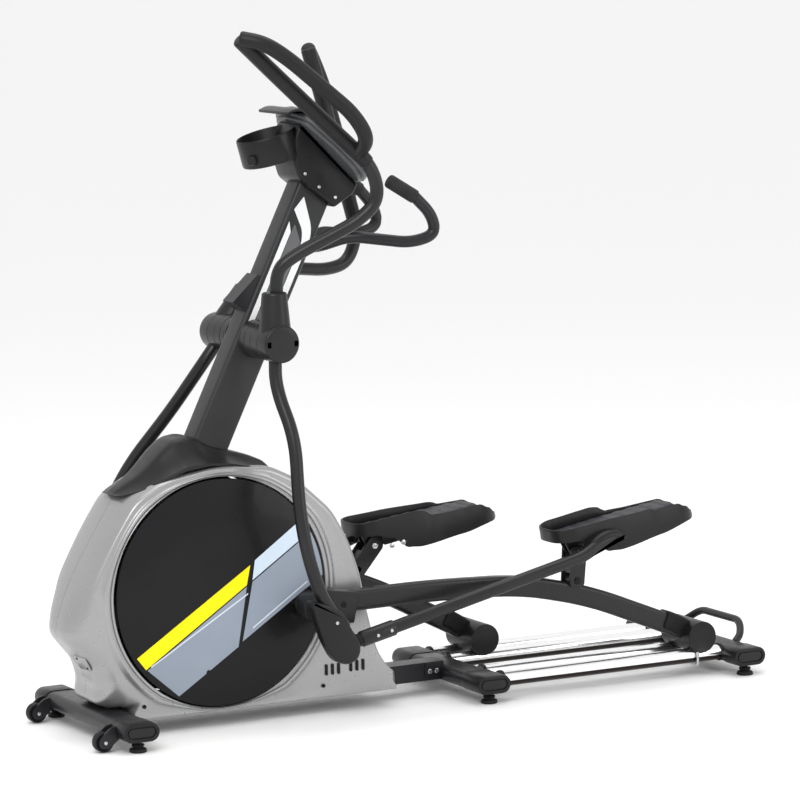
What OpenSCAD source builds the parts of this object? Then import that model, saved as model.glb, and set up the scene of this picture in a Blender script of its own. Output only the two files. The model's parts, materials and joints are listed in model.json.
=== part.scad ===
// Elliptical trainer: front crank discs, pedal arms on rear rails, swinging handlebars.
// Millimetres, +Z up, +X to the rear of the machine, -Y is the user's left.

/* [Stance] */
// Crank axle, distance ahead of the machine's middle
crank_x = -576; // [-620:1:-520]
// Crank axle height
crank_z = 347; // [320:1:380]
// Front stabiliser behind (+) or ahead (-) of the crank axle
front_dx = -298; // [-320:1:-280]
// Middle stabiliser behind the crank axle
mid_dx = 712; // [690:1:730]
// Rear stabiliser behind the crank axle
rear_dx = 1461; // [1440:1:1500]
// Half length of the front stabiliser with its caps
front_half = 280; // [250:1:300]
// Half length of the middle stabiliser with its caps
mid_half = 238; // [225:1:260]
// Half length of the rear stabiliser with its caps
rear_half = 280; // [250:1:300]

/* [Drive] */
// Crank pin radius about the axle
crank_r = 242; // [220:1:260]
// Left crank pin below the horizontal at rest
crank_angle = 12; // [0:1:30]
// Radius of the round crank cover
disc_r = 287; // [270:1:290]
// Pedal arm length from crank pin to roller axle
arm_len = 1133; // [1100:1:1160]
// Roller axle height
roller_z = 105; // [102:0.5:110]
// Rail tube radius
rail_r = 20; // [16:0.5:22]
// Rail centre height
rail_z = 56; // [50:0.5:58]

/* [Swing arms] */
// Handlebar pivot behind the crank axle
pivot_dx = 150; // [140:1:160]
// Handlebar pivot height
pivot_z = 967; // [940:1:1000]
// Pivot to lower link joint
swing_len = 760; // [740:1:780]
// Lower end of the left handlebar, degrees behind straight down
near_swing = 10; // [0:0.5:15]
// Swing from one end of the stride to the other
swing_travel = 34.05; // [25:0.05:40]
// Handlebar tube radius
bar_r = 16.5; // [14:0.5:18]

/* [Pedals] */
// Link joint to pedal joint
link_len = 732.2; // [700:0.1:760]
// Link slope at the rear end of the stride
near_slope = 11.3; // [5:0.1:15]
// Link slope at the front end of the stride
far_slope = 8.24; // [5:0.01:15]
// Rocker post length
rocker_len = 75.9; // [70:0.1:90]
// Rocker lean at the rear end of the stride
near_lean = 4.6; // [0:0.1:15]
// Rocker lean at the front end of the stride
far_lean = 39.4; // [20:0.1:45]
// Middle of each pedal from the centre line
pedal_y = 145; // [135:1:150]

/* [Mast and console] */
// Lean of the mast towards the user
mast_lean = 26.2; // [20:0.1:30]
// Mast depth along the machine
mast_d = 100; // [80:1:110]
// Mast width
mast_w = 76; // [60:1:80]
// Half width of the console
console_half = 128; // [110:1:140]

/* [Hidden] */
near_arm = asin((crank_z - crank_r * sin(crank_angle) - roller_z) / arm_len);
far_arm = asin((crank_z + crank_r * sin(crank_angle) - roller_z) / arm_len);
pin_dx = crank_r * cos(crank_angle);
pin_dz = crank_r * sin(crank_angle);
pivot_x = crank_x + pivot_dx;
front_x = crank_x + front_dx;
mid_x = crank_x + mid_dx;
rear_x = crank_x + rear_dx;
near_pin = [crank_x + pin_dx, crank_z - pin_dz];
far_pin = [crank_x - pin_dx, crank_z + pin_dz];
rocker_at = [748, 118];
arm_y = 156;
foot_y = [252, 206, 252];
rail_y = [-192, -96, 96, 192];
stab_z = 52;
$fn = 64;

/* ---------- helpers ---------- */

function unit(v) = v / norm(v);

// Open path with each inner corner eased over a distance d.
function bend(p, d, n) = [
    p[0],
    for (i = [1 : len(p) - 2])
        let (a = p[i] + unit(p[i - 1] - p[i]) * min(d, norm(p[i - 1] - p[i]) * 0.49),
             b = p[i] + unit(p[i + 1] - p[i]) * min(d, norm(p[i + 1] - p[i]) * 0.49))
            for (k = [0 : n])
                let (t = k / n) a * (1 - t) * (1 - t) + p[i] * 2 * t * (1 - t) + b * t * t,
    p[len(p) - 1]];

// Closed outline; each point is [x, y, easing distance].
function soft(p, n = 5) = [
    for (i = [0 : len(p) - 1])
        let (c = [p[i][0], p[i][1]],
             u = p[(i + len(p) - 1) % len(p)],
             w = p[(i + 1) % len(p)],
             a = c + unit([u[0], u[1]] - c) * min(p[i][2], norm([u[0], u[1]] - c) * 0.49),
             b = c + unit([w[0], w[1]] - c) * min(p[i][2], norm([w[0], w[1]] - c) * 0.49))
            for (k = [0 : p[i][2] > 0 ? n : 0])
                let (t = k / n)
                    p[i][2] > 0 ? a * (1 - t) * (1 - t) + c * 2 * t * (1 - t) + b * t * t : c];

function ring(n, ra, rb) = [for (j = [0 : n - 1]) [ra * cos(360 * j / n), rb * sin(360 * j / n)]];

// Sweeps a closed profile [up, across] along a path; across is close to the direction ref.
module sweep(path, prof, ref = [0, 1, 0]) {
    m = len(path);
    n = len(prof);
    pts = [
        for (i = [0 : m - 1])
            let (t = unit(path[min(i + 1, m - 1)] - path[max(i - 1, 0)]),
                 u = unit(cross(t, ref)),
                 w = cross(u, t))
                for (q = prof) path[i] + u * q[0] + w * q[1]];
    sides = [
        for (i = [0 : m - 2], j = [0 : n - 1])
            let (a = i * n + j, b = i * n + (j + 1) % n)
                each [[b + n, a + n, a], [b, b + n, a]]];
    start = [for (j = [0 : n - 1]) n - 1 - j];
    finish = [for (j = [0 : n - 1]) (m - 1) * n + j];
    polyhedron(pts, concat(sides, [start], [finish]));
}

// Cylinder along Y between two y values.
module ycyl(r, y0, y1) {
    translate([0, y0, 0]) rotate([-90, 0, 0]) cylinder(r = r, h = y1 - y0);
}

// Outline drawn in X and Z, extruded between two y values.
module yplate(y0, y1) {
    translate([0, y1, 0]) rotate([90, 0, 0]) linear_extrude(y1 - y0) children();
}

module box(x0, x1, y0, y1, z0, z1) {
    translate([x0, y0, z0]) cube([x1 - x0, y1 - y0, z1 - z0]);
}

module at(p) { translate([p[0], 0, p[1]]) children(); }

module right_side() { mirror([0, 1, 0]) children(); }

module both_sides() {
    children();
    mirror([0, 1, 0]) children();
}

// Frames of the moving groups: e is 0 at the rear end of the stride, 1 at the front end.
function arm_tilt(e) = e == 0 ? near_arm : far_arm;
function arm_pin(e) = e == 0 ? near_pin : far_pin;
function turned(p, a) = [p[0] * cos(a) + p[1] * sin(a), -p[0] * sin(a) + p[1] * cos(a)];
function rocker_foot(e) = arm_pin(e) + turned(rocker_at, arm_tilt(e));
function pedal_joint(e) = rocker_foot(e) + turned([0, rocker_len], e == 0 ? near_lean : far_lean);

module arm_frame(e) { at(arm_pin(e)) rotate([0, arm_tilt(e), 0]) children(); }

module rocker_frame(e) {
    at(rocker_foot(e)) rotate([0, e == 0 ? near_lean : far_lean, 0]) children();
}

module link_frame(e) {
    at(pedal_joint(e)) rotate([0, e == 0 ? -near_slope : -far_slope, 0]) children();
}

module bar_frame(e) { at([pivot_x, pivot_z]) rotate([0, e * swing_travel, 0]) children(); }

/* ---------- floor frame ---------- */

function stadium(w, h) = [
    for (s = [-1, 1], k = [0 : 12])
        [s * (w - h) / 2 + s * h / 2 * sin(k * 15), -s * h / 2 * cos(k * 15)]];

module stab_tube(x, half) {
    translate([x, 0, stab_z]) difference() {
        yplate(-half, half) polygon(stadium(92, 44));
        yplate(-half - 1, half + 1) polygon(stadium(86, 38));
    }
}

module rail_holes() {
    for (y = rail_y)
        translate([mid_x, y, rail_z]) rotate([0, 90, 0]) {
            translate([0, 0, 36]) cylinder(r = rail_r + 0.1, h = rear_x - mid_x - 72);
        }
}

module front_stabiliser() {
    color("#26262a") difference() {
        stab_tube(front_x, front_half - 14);
        box(front_x + 30, front_x + 60, -30.1, 30.1, 37.9, 86.1);
    }
}

module mid_stabiliser() {
    color("#26262a") difference() {
        stab_tube(mid_x, mid_half - 14);
        box(mid_x - 60, mid_x - 36, -30.1, 30.1, 37.9, 86.1);
        rail_holes();
    }
}

module rear_stabiliser() {
    color("#26262a") difference() {
        stab_tube(rear_x, rear_half - 14);
        rail_holes();
    }
}

module end_caps() {
    color("#17171a")
        for (s = [[front_x, front_half], [mid_x, mid_half], [rear_x, rear_half]])
            both_sides()
                translate([s[0], -s[1], stab_z]) {
                    difference() {
                        yplate(0, 14) polygon(stadium(96, 48));
                        yplate(-1, 5) polygon(stadium(70, 26));
                    }
                    yplate(14, 25) polygon(stadium(85.4, 37.4));
                }
}

module feet() {
    color("#1b1b1d")
        for (s = [[front_x, foot_y[0]], [mid_x, foot_y[1]], [rear_x, foot_y[2]]])
            both_sides()
                translate([s[0], -s[1], 0]) {
                    cylinder(r1 = 22, r2 = 20, h = 10);
                    translate([0, 0, 10]) cylinder(r1 = 16, r2 = 13, h = 8);
                    translate([0, 0, 18]) cylinder(r = 6, h = 12);
                }
}

module wheel_brackets() {
    color("#26262a")
        both_sides()
            translate([front_x, -208, 0])
                for (y = [-19, 13])
                    difference() {
                        yplate(y, y + 6) polygon(soft([[-30, 38, 0], [-30, 66, 0], [-60, 62, 8],
                            [-92, 34, 12], [-90, 12, 12], [-66, 10, 8]]));
                        translate([-74, 0, 26]) ycyl(5.05, y - 1, y + 7);
                        translate([0, 0, stab_z]) yplate(y - 1, y + 7) polygon(stadium(92.1, 44.1));
                    }
}

module transport_wheel() {
    translate([front_x - 74, -208, 26]) {
        difference() {
            ycyl(25, -12, 12);
            for (y = [-13, 8]) difference() {
                ycyl(19, y, y + 5);
                ycyl(9, y - 1, y + 6);
            }
        }
        ycyl(5, -21, 21);
    }
}

module transport_wheel_left() { color("#1c1c1e") transport_wheel(); }

module transport_wheel_right() { color("#1c1c1e") right_side() transport_wheel(); }

module rails() {
    color("#d9dbde")
        for (y = rail_y)
            translate([mid_x + 36.1, y, rail_z])
                rotate([0, 90, 0])
                    difference() {
                        cylinder(r = rail_r, h = rear_x - mid_x - 72.2);
                        translate([0, 0, -1]) cylinder(r = rail_r - 2.5, h = rear_x - mid_x);
                    }
}

module rear_handle() {
    path = bend([[rear_x + 36, -148, 66], [rear_x + 62, -136, 84], [rear_x + 84, -96, 113],
        [rear_x + 84, 96, 113], [rear_x + 62, 136, 84], [rear_x + 36, 148, 66]], 26, 6);
    color("#232326") difference() {
        sweep(path, ring(14, 10.5, 10.5), [1, 0, 0]);
        translate([rear_x, 0, stab_z]) yplate(-170, 170) polygon(stadium(92.2, 44.2));
    }
}

module base_frame() {
    color("#2a2a2e") difference() {
        union() {
            box(front_x + 30.1, mid_x - 36.1, -30, 30, 38, 86);
            difference() {
                mast_frame() difference() {
                    box(-46.9, 46.9, -34.9, 34.9, -1000, -300);
                    box(-44, 44, -32, 32, -1100, -200);
                }
                box(front_x - 100, mid_x, -40, 40, -60, 84);
                box(front_x - 100, front_x + 32, -40, 40, 80, 300);
            }
            box(crank_x - 36, crank_x + 36, -30, 30, 84, crank_z);
            at([crank_x, crank_z]) ycyl(34, -55, 55);
        }
        box(front_x, mid_x, -27, 27, 41, 83);
        box(crank_x - 33, crank_x + 33, -27, 27, 60, crank_z - 40);
        at([crank_x, crank_z]) ycyl(15.05, -60, 60);
    }
}

/* ---------- covers ---------- */

shroud_line = soft([[-292, 74.1, 6], [-334, 92, 12], [-326, 135, 16], [-341, 184, 18],
    [-378, 226, 22], [-405, 262, 20], [-400, 310, 24], [-366, 405, 30], [-304, 508, 30],
    [-240, 600, 30], [-150, 640, 30], [20, 664, 40], [150, 652, 26], [224, 616, 24],
    [325, 524, 30], [372, 440, 30], [402, 350, 30], [416, 270, 30], [447, 146, 30],
    [476, 104, 14], [496, 88, 8], [496, 44, 4], [-240, 44, 4], [-244, 74.1, 4]], 4);

// Outline shrunk by the factor k about the middle of the cover.
module shrunk(k) { translate([24, 320]) scale(k) translate([-24, -320]) polygon(shroud_line); }

// Plan of one half of the cover, narrowing to the front and moved inwards by d.
module shroud_plan(d) {
    linear_extrude(700) polygon([[-410 + d, 1], [-410 + d, -40 + d], [-394 + d, -66 + d],
        [-364 + d, -92 + d], [-318 + d, -118 + d], [-300 + d, -125 + d], [600, -125 + d], [600, 1]]);
}

module shroud_half() {
    at([crank_x, 0]) difference() {
        intersection() {
            union() {
                yplate(-104, -0.3) polygon(shroud_line);
                yplate(-112, -104) shrunk([0.94, 0.92]);
                at([0, crank_z]) ycyl(312, -118, -104);
            }
            shroud_plan(0);
        }
        intersection() {
            yplate(-101, 1) shrunk([0.984, 0.984]);
            shroud_plan(4);
        }
        yplate(-101, 1) polygon([[-232, 90], [-228, 20], [488, 20], [488, 90]]);
        at([0, crank_z]) ycyl(disc_r + 4, -130, -80);
        at([0, crank_z]) difference() {
            ycyl(306, -120, -112.5);
            ycyl(298, -121, -111);
        }
        box(-330, 330, -130, -101, 0, 44);
        for (x = [-300, 420]) box(x, x + 100, -30.1, 1, 30, 86.1);
        at([pivot_dx, pivot_z]) rotate([0, mast_lean, 0])
            box(-mast_d / 2 - 1, mast_d / 2 + 1, -mast_w / 2 - 1, 1, -480, 0);
        for (i = [0 : 2], s = [[291, 102], [361, 105]])
            box(s[0] + i * 17.5, s[0] + 7 + i * 17.5, -130, -90, s[1], s[1] + 28);
    }
}

module shroud_left() { color("#b9bbbe") shroud_half(); }

module shroud_right() { color("#b9bbbe") right_side() shroud_half(); }

cover_line = soft([[-246, 584, 2], [-242, 604, 8], [-172, 652, 20], [-118, 704, 14],
    [-84, 731, 14], [-36, 737, 14], [12, 708, 16], [66, 693, 20], [118, 677, 14], [158, 656, 8],
    [160, 610, 2]], 4);
cover_sides = [[-106, 580], [-100, 640], [-54, 720], [-50, 760], [50, 760], [54, 720], [100, 640],
    [106, 580]];

module top_cover() {
    color("#2b2b2e") at([crank_x, 0]) difference() {
        intersection() {
            yplate(-104, 104) polygon(cover_line);
            translate([-300, 0, 0]) rotate([90, 0, 90]) linear_extrude(500) polygon(cover_sides);
        }
        intersection() {
            yplate(-100, 100)
                translate([-46, 600]) scale([0.97, 0.96]) translate([46, -600]) polygon(cover_line);
            translate([-300, 0, -6]) rotate([90, 0, 90]) linear_extrude(500)
                scale([0.94, 1]) polygon(cover_sides);
        }
        yplate(-105, 105) translate([0, 0.3]) polygon(shroud_line);
        at([pivot_dx, pivot_z]) rotate([0, mast_lean, 0])
            box(-mast_d / 2 - 1, mast_d / 2 + 1, -mast_w / 2 - 1, mast_w / 2 + 1, -480, 0);
    }
}

module access_panel() {
    color("#aeb0b3") at([crank_x, 0]) difference() {
        translate([-334.6, -56, 163]) rotate([0, -17, 0]) box(-5, 8, -26, 26, -20, 20);
        yplate(-90, -20) translate([-0.1, 0]) polygon(shroud_line);
    }
}

module screws() {
    color("#8d8f93") at([crank_x, 0]) both_sides()
        for (p = [[-214, 78], [285, 76]])
            at(p) ycyl(5, -114.5, -112.05);
}

/* ---------- mast, pivot, console ---------- */

module mast_frame() { at([pivot_x, pivot_z]) rotate([0, mast_lean, 0]) children(); }

module mast() {
    color("#343437") difference() {
        mast_frame() difference() {
            box(-mast_d / 2, mast_d / 2, -mast_w / 2, mast_w / 2, -440, 424);
            box(-mast_d / 2 + 3, mast_d / 2 - 3, -mast_w / 2 + 3, mast_w / 2 - 3, -441, 421);
        }
        at([pivot_x, pivot_z]) ycyl(12.05, -60, 60);
    }
}

module gusset() {
    color("#2b2b2e") mast_frame()
        yplate(-30, 30) polygon([[-50.1, 52], [-92, 60], [-58, 150], [-50.1, 150]]);
}

module pivot_axle() {
    color("#3a3a3d") at([pivot_x, pivot_z]) {
        ycyl(12, -186, 186);
        both_sides() ycyl(48.5, -70, -38.1);
    }
}

module console_frame() { at([crank_x + 362, 1440]) rotate([0, 45, 0]) children(); }

neck_line = [[-104, -16.2], [122, -16.2], [130, -40], [114, -104], [-12, -118], [-62, -104],
    [-106, -56]];

module console_neck() {
    color("#202023") difference() {
        console_frame() yplate(-64, 64) polygon(neck_line);
        console_frame() yplate(-60, 60)
            translate([10, -66]) scale(0.92) translate([-10, 66]) polygon(neck_line);
        mast_frame()
            box(-mast_d / 2 - 0.2, mast_d / 2 + 0.2, -mast_w / 2 - 0.2, mast_w / 2 + 0.2, 0, 424.3);
    }
}

module console_housing() {
    color("#5e6166") console_frame() difference() {
        translate([0, 0, -16]) linear_extrude(38) polygon(soft([[-118, -86, 30],
            [-130, 0, 10], [-118, 86, 30], [-40, console_half, 40], [70, console_half, 30],
            [122, 92, 30], [134, 0, 10], [122, -92, 30], [70, -console_half, 30],
            [-40, -console_half, 40]], 5));
        box(-92, 34, -82, 82, 18, 30);
        for (y = [-50, 0, 50]) translate([76, y, 4]) cylinder(r = 14, h = 30);
    }
}

module console_display() {
    color("#101418") console_frame() box(-91.6, 33.6, -81.6, 81.6, 18, 21);
}

module button(y) {
    console_frame() translate([76, y, 12]) cylinder(r = 13.6, h = 12.5);
}

module button_up() { color("#3a78b8") button(-50); }

module button_start() { color("#b8432f") button(0); }

module button_down() { color("#3a78b8") button(50); }

module bottle_holder() {
    color("#1d1d20") at([crank_x, 0]) difference() {
        at([218, 1443]) rotate([0, -15, 0]) difference() {
            union() {
                translate([0, 0, -36]) cylinder(r = 76, h = 72);
                rotate([0, 0, 28]) box(-88, -66, -14, 14, -24, 0);
            }
            translate([0, 0, -32]) cylinder(r = 72.5, h = 90);
        }
        at([362, 1440]) rotate([0, 45, 0]) {
            yplate(-64.2, 64.2) translate([-0.2, -0.1]) polygon(neck_line);
            box(-64, 200, -200, 200, -200, 60);
            box(-200, 200, -200, 200, -18, 160);
        }
    }
}

half_bar = [[-10, 34, -4], [60, 84, 24], [200, 150, 4], [268, 158, 22], [256, 158, 74],
    [213, 152, 119]];
fixed_line = bend(concat([for (i = [5 : -1 : 0]) [half_bar[i][0], -half_bar[i][1], half_bar[i][2]]],
    half_bar), 34, 5);

module fixed_handlebar() {
    color("#2a2a2d") difference() {
        translate([crank_x + 338, 0, 1190]) sweep(fixed_line, ring(14, 15, 15), [0.13, 0.2, 1]);
        mast_frame() box(-60, mast_d / 2 + 0.1, -mast_w / 2, mast_w / 2, 180, 300);
    }
}

module pulse_grips() {
    color("#1a1a1c") translate([crank_x + 338, 0, 1190]) both_sides() difference() {
        sweep([[212.8, -152, 119.2], [141, -144, 165]], ring(16, 18, 18));
        sweep([[256, -158, 74], [208.7, -151.4, 123.5]], ring(14, 15.3, 15.3));
    }
}

/* ---------- drive ---------- */

module crank_axle() {
    color("#6f7276") at([crank_x, crank_z]) {
        ycyl(15, -114, 114);
        rotate([0, crank_angle, 0]) box(-24, crank_r + 20, -108, -96, -22, 22);
        rotate([0, crank_angle, 0]) box(-crank_r - 20, 24, 96, 108, -22, 22);
    }
}

module drive_pulley() {
    color("#3b3d40") at([crank_x, crank_z]) difference() {
        ycyl(150, -86, -66);
        ycyl(15.05, -90, -60);
        for (a = [0 : 60 : 300])
            rotate([0, a, 0]) translate([92, 0, 0]) ycyl(30, -90, -60);
    }
}

module disc() {
    at([crank_x, crank_z]) {
        difference() {
            ycyl(disc_r, -124, -114);
            for (a = [0 : 90 : 270])
                rotate([0, crank_angle + a, 0]) translate([203, 0, 0]) ycyl(6, -125, -121);
        }
        rotate([0, crank_angle, 0]) translate([crank_r, 0, 0]) ycyl(30, -130, -123);
        for (a = [0 : 90 : 270])
            rotate([0, crank_angle + a, 0]) translate([203, 0, 0]) ycyl(5, -123.5, -120);
    }
}

module disc_left() { color("#141416") disc(); }

module disc_right() {
    color("#141416") right_side() at([crank_x, crank_z]) rotate([0, 180, 0])
        at([-crank_x, -crank_z]) disc();
}

module flywheel() {
    color("#7d7f83") at([crank_x + 300, 300]) {
        ycyl(98, -22, 22);
        ycyl(10, -90, 34);
        ycyl(20, -86, -66);
    }
}

module brake_bracket() {
    color("#2a2a2e") at([crank_x + 300, 300]) both_sides() difference() {
        yplate(-30, -24) polygon([[-30, -214], [30, -214], [22, 20], [-22, 20]]);
        ycyl(10.05, -60, -20);
    }
}

/* ---------- pedal arms ---------- */

arm_line = bend([[40, 0, 6], [130, 0, 24], [330, 0, 60], [590, 0, 94], [800, 0, 80],
    [1096, 0, 14]], 90, 4);

function rounded(w, h, r) = soft([[h, -w, r], [h, w, r], [-h, w, r], [-h, -w, r]], 3);

module arm(e) {
    arm_frame(e) {
        translate([0, -arm_y, 0]) difference() {
            sweep(arm_line, rounded(19.5, 27, 12));
            sweep(arm_line, [[24, -9], [24, 9], [17, 16.5], [-17, 16.5], [-24, 9], [-24, -9],
                [-17, -16.5], [17, -16.5]]);
        }
        at(rocker_at) translate([0, -arm_y, 0]) difference() {
            union() {
                ycyl(14, -18, 18);
                box(-14, 14, -18, 18, -30, 0);
            }
            ycyl(6.05, -21, 21);
        }
        at([arm_len, 0]) difference() {
            union() {
                ycyl(18, -173, -115);
                yplate(-173, -139) polygon([[-48, -6], [-44, 34], [-8, 16], [-2, -16]]);
            }
            ycyl(8.05, -180, -110);
        }
    }
}

module arm_bracket(e) {
    arm_frame(e) difference() {
        yplate(-180, -132) polygon(soft([[-30, -34, 12], [118, -36, 10], [122, 44, 8],
            [20, 42, 14], [-34, 22, 14]], 4));
        box(30, 140, -arm_y - 19.6, -arm_y + 19.6, -60, 60);
        ycyl(10, -148, -131);
    }
}

module carriage(e) {
    arm_frame(e) at([arm_len, 0]) ycyl(8, -212, -76);
}

module rollers(e) {
    arm_frame(e) at([arm_len, 0])
        for (y = [-192, -96])
            difference() {
                ycyl(roller_z - rail_z - rail_r - 0.3, y - 15, y + 15);
                ycyl(8.05, y - 16, y + 16);
            }
}

module roller_cover(e) {
    arm_frame(e) at([arm_len, 0]) {
        difference() {
            ycyl(42, -216, -72.2);
            ycyl(37, -213, -75.2);
            rotate([0, -arm_tilt(e), 0]) box(-60, 60, -212.9, -75.3, -60, -22);
            box(-60, -20, -arm_y - 19.6, -arm_y + 19.6, -60, 60);
        }
        translate([-17, 0, 0]) rotate([0, -near_arm, 0]) {
            box(-4, 4, -219.4, -215, -75, -20);
            box(-4, 4, -216, -207.5, -75, -69);
        }
    }
}

module rocker(e) {
    rocker_frame(e) {
        difference() {
            for (y = [-181, -136])
                yplate(y, y + 5) polygon(soft([[-17, -16, 12], [18, -16, 12],
                    [18, rocker_len + 15, 12], [-17, rocker_len + 15, 12]], 4));
            at([0, rocker_len]) ycyl(6.05, -190, -120);
        }
        box(-17, -12, -181, -131, 20, rocker_len - 30);
        ycyl(6, -184, -128);
        for (y = [-184, -131])
            ycyl(10, y, y + 3);
    }
}

/* ---------- pedals and links ---------- */

pedal_plan = soft([[-80, -44, 34], [-50, -70, 24], [150, -70, 40], [330, -48, 40], [364, 0, 22],
    [330, 48, 40], [150, 70, 40], [-50, 70, 24], [-80, 44, 34]], 5);

module pedal_body() {
    intersection() {
        translate([0, 0, -30]) linear_extrude(140) polygon(pedal_plan);
        yplate(-80, 80) polygon(soft([[-84, 36, 6], [-86, 74, 8], [60, 74, 20], [180, 60, 30],
            [290, 58, 20], [338, 40, 16], [368, 4, 6], [360, -14, 6], [120, -19, 10],
            [24, -19, 8], [18, 30, 8]], 4));
    }
}

module pedal(e) {
    link_frame(e) rotate([0, -1.4, 0]) translate([0, -pedal_y, 0]) {
        difference() {
            pedal_body();
            intersection() {
                translate([2, 0, 44]) linear_extrude(60) translate([142, 0]) scale([0.955, 0.91])
                    translate([-142, 0]) polygon(pedal_plan);
                box(-120, 292, -80, 80, 44, 120);
            }
            box(26, 330, -60, 60, -40, 6);
            box(24, 240, -60, 60, -40, 36);
            box(18, 60, -60, 60, -40, 30);
        }
        for (y = [-27, 0])
            yplate(y, y + 5) polygon(soft([[-16, -16, 10], [26, -16, 4], [44, 37, 2],
                [-30, 37, 2]], 4));
        ycyl(6, -36.2, 14.2);
        for (y = [-39.2, 14.2])
            ycyl(10, y, y + 3);
    }
}

module pedal_mat(e) {
    link_frame(e) rotate([0, -1.4, 0]) translate([0, -pedal_y, 0]) {
        intersection() {
            translate([2, 0, 44]) linear_extrude(7) translate([142, 0]) scale([0.95, 0.9])
                translate([-142, 0]) polygon(pedal_plan);
            box(-120, 291.6, -80, 80, 40, 120);
        }
        for (i = [0 : 9])
            box(-20 + i * 30, -8 + i * 30, -44, 44, 51, 54);
    }
}

module link_bar(e) {
    link_frame(e) {
        translate([-link_len, 0, 0]) difference() {
            union() {
                ycyl(24, -256, -226);
                translate([20, -239, 0]) rotate([0, 90, 0]) cylinder(r = 18, h = 170);
            }
            ycyl(9, -257, -225);
            translate([8, -239, 0]) rotate([0, 90, 0]) cylinder(r = 13.5, h = 200);
        }
        translate([-link_len + 190, -239, 0]) rotate([0, 90, 0]) difference() {
            cylinder(r = 16.5, h = 470);
            translate([0, 0, -1]) cylinder(r = 13.5, h = 460);
        }
        sweep(bend([[-72.4, -239, 0], [0, -239, 4], [60, -236, 24], [150, -232, 34]], 30, 5),
            ring(16, 16.5, 16.5));
        yplate(-224, -215.1) polygon(soft([[-20, -12, 6], [60, -14, 12], [170, 10, 12],
            [178, 46, 8], [20, 46, 10]], 4));
    }
}

/* ---------- swinging handlebars ---------- */

lower_line = bend([[0, -150, -30], [-4, -156, -110], [14, -222, -235], [4, -258, -400],
    [14, -272, -510], [54, -275, -640], [116, -275, -712]], 60, 5);
upper_line = bend([[6, -151, 90], [5, -156, 182], [50, -172, 218], [205, -221, 298],
    [256, -236, 350], [236, -240, 432], [99, -245, 553], [-49, -252, 686],
    [-134, -262, 762]], 46, 5);
loop_line = bend([[196, -240, 466], [196, -300, 505], [150, -310, 570], [-22, -304, 712],
    [-84, -300, 752], [-134, -266, 764]], 40, 5);

// The path without its last point, for a bore that stops short of the end.
function blind(p) = [for (i = [0 : len(p) - 2]) p[i]];

module hub(e) {
    bar_frame(e) {
        difference() {
            ycyl(48, -190, -71.5);
            ycyl(12.05, -187, -60);
            for (y = [-146, -104])
                difference() {
                    ycyl(50, y, y + 1.5);
                    ycyl(47, y - 1, y + 3);
                }
        }
        ycyl(46, -195, -189);
        difference() {
            translate([0, -152, 30]) cylinder(r1 = 40, r2 = 31, h = 96);
            ycyl(47.5, -212, -92);
        }
    }
}

module lower_bar(e) {
    bar_frame(e) {
        difference() {
            sweep(lower_line, ring(16, bar_r, bar_r));
            sweep(lower_line, ring(8, bar_r - 3, bar_r - 3));
            ycyl(48.1, -198, -60);
        }
        translate([swing_len * sin(near_swing), 0, -swing_len * cos(near_swing)]) {
            ycyl(30, -290, -259);
            rotate([0, -near_swing - 30, 0]) box(-16, 16, -288, -262, 0, 70);
        }
    }
}

module upper_bar(e) {
    bar_frame(e) {
        difference() {
            union() {
                sweep(upper_line, ring(16, 18, 18));
                sweep(loop_line, ring(16, 19, 19));
            }
            sweep(blind(upper_line), ring(8, 14, 14));
            sweep(blind(loop_line), ring(8, 15, 15));
            translate([6, -152, 30]) cylinder(r = 60, h = 96.1);
        }
    }
}

module shoe(e) {
    bar_frame(e) difference() {
        yplate(-296, -258) polygon(soft([[24, -636, 10], [76, -622, 12], [152, -700, 16],
            [182, -752, 24], [176, -806, 24], [132, -826, 24], [96, -790, 20], [40, -690, 16]], 5));
        translate([swing_len * sin(near_swing), 0, -swing_len * cos(near_swing)]) {
            ycyl(30.2, -291, -250);
            rotate([0, -near_swing - 30, 0]) box(-16.4, 16.4, -289, -250, 0, 300);
        }
        sweep(lower_line, ring(16, bar_r + 0.6, bar_r + 0.6));
    }
}

/* ---------- left and right copies ---------- */

module carriage_left() { color("#8a8c90") carriage(0); }
module rollers_left() { color("#303033") rollers(0); }
module roller_cover_left() { color("#1d1d20") roller_cover(0); }
module arm_left() { color("#333336") arm(0); }
module arm_bracket_left() { color("#3a3a3e") arm_bracket(0); }
module rocker_left() { color("#2b2b2e") rocker(0); }
module pedal_left() { color("#222225") pedal(0); }
module pedal_mat_left() { color("#2e2c33") pedal_mat(0); }
module link_left() { color("#333336") link_bar(0); }
module hub_left() { color("#3d3d41") hub(0); }
module lower_bar_left() { color("#333336") lower_bar(0); }
module upper_bar_left() { color("#333336") upper_bar(0); }
module shoe_left() { color("#2e2e31") shoe(0); }
module carriage_right() { color("#8a8c90") right_side() carriage(1); }
module rollers_right() { color("#303033") right_side() rollers(1); }
module roller_cover_right() { color("#1d1d20") right_side() roller_cover(1); }
module arm_right() { color("#333336") right_side() arm(1); }
module arm_bracket_right() { color("#3a3a3e") right_side() arm_bracket(1); }
module rocker_right() { color("#2b2b2e") right_side() rocker(1); }
module pedal_right() { color("#222225") right_side() pedal(1); }
module pedal_mat_right() { color("#2e2c33") right_side() pedal_mat(1); }
module link_right() { color("#333336") right_side() link_bar(1); }
module hub_right() { color("#3d3d41") right_side() hub(1); }
module lower_bar_right() { color("#333336") right_side() lower_bar(1); }
module upper_bar_right() { color("#333336") right_side() upper_bar(1); }
module shoe_right() { color("#2e2e31") right_side() shoe(1); }

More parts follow.
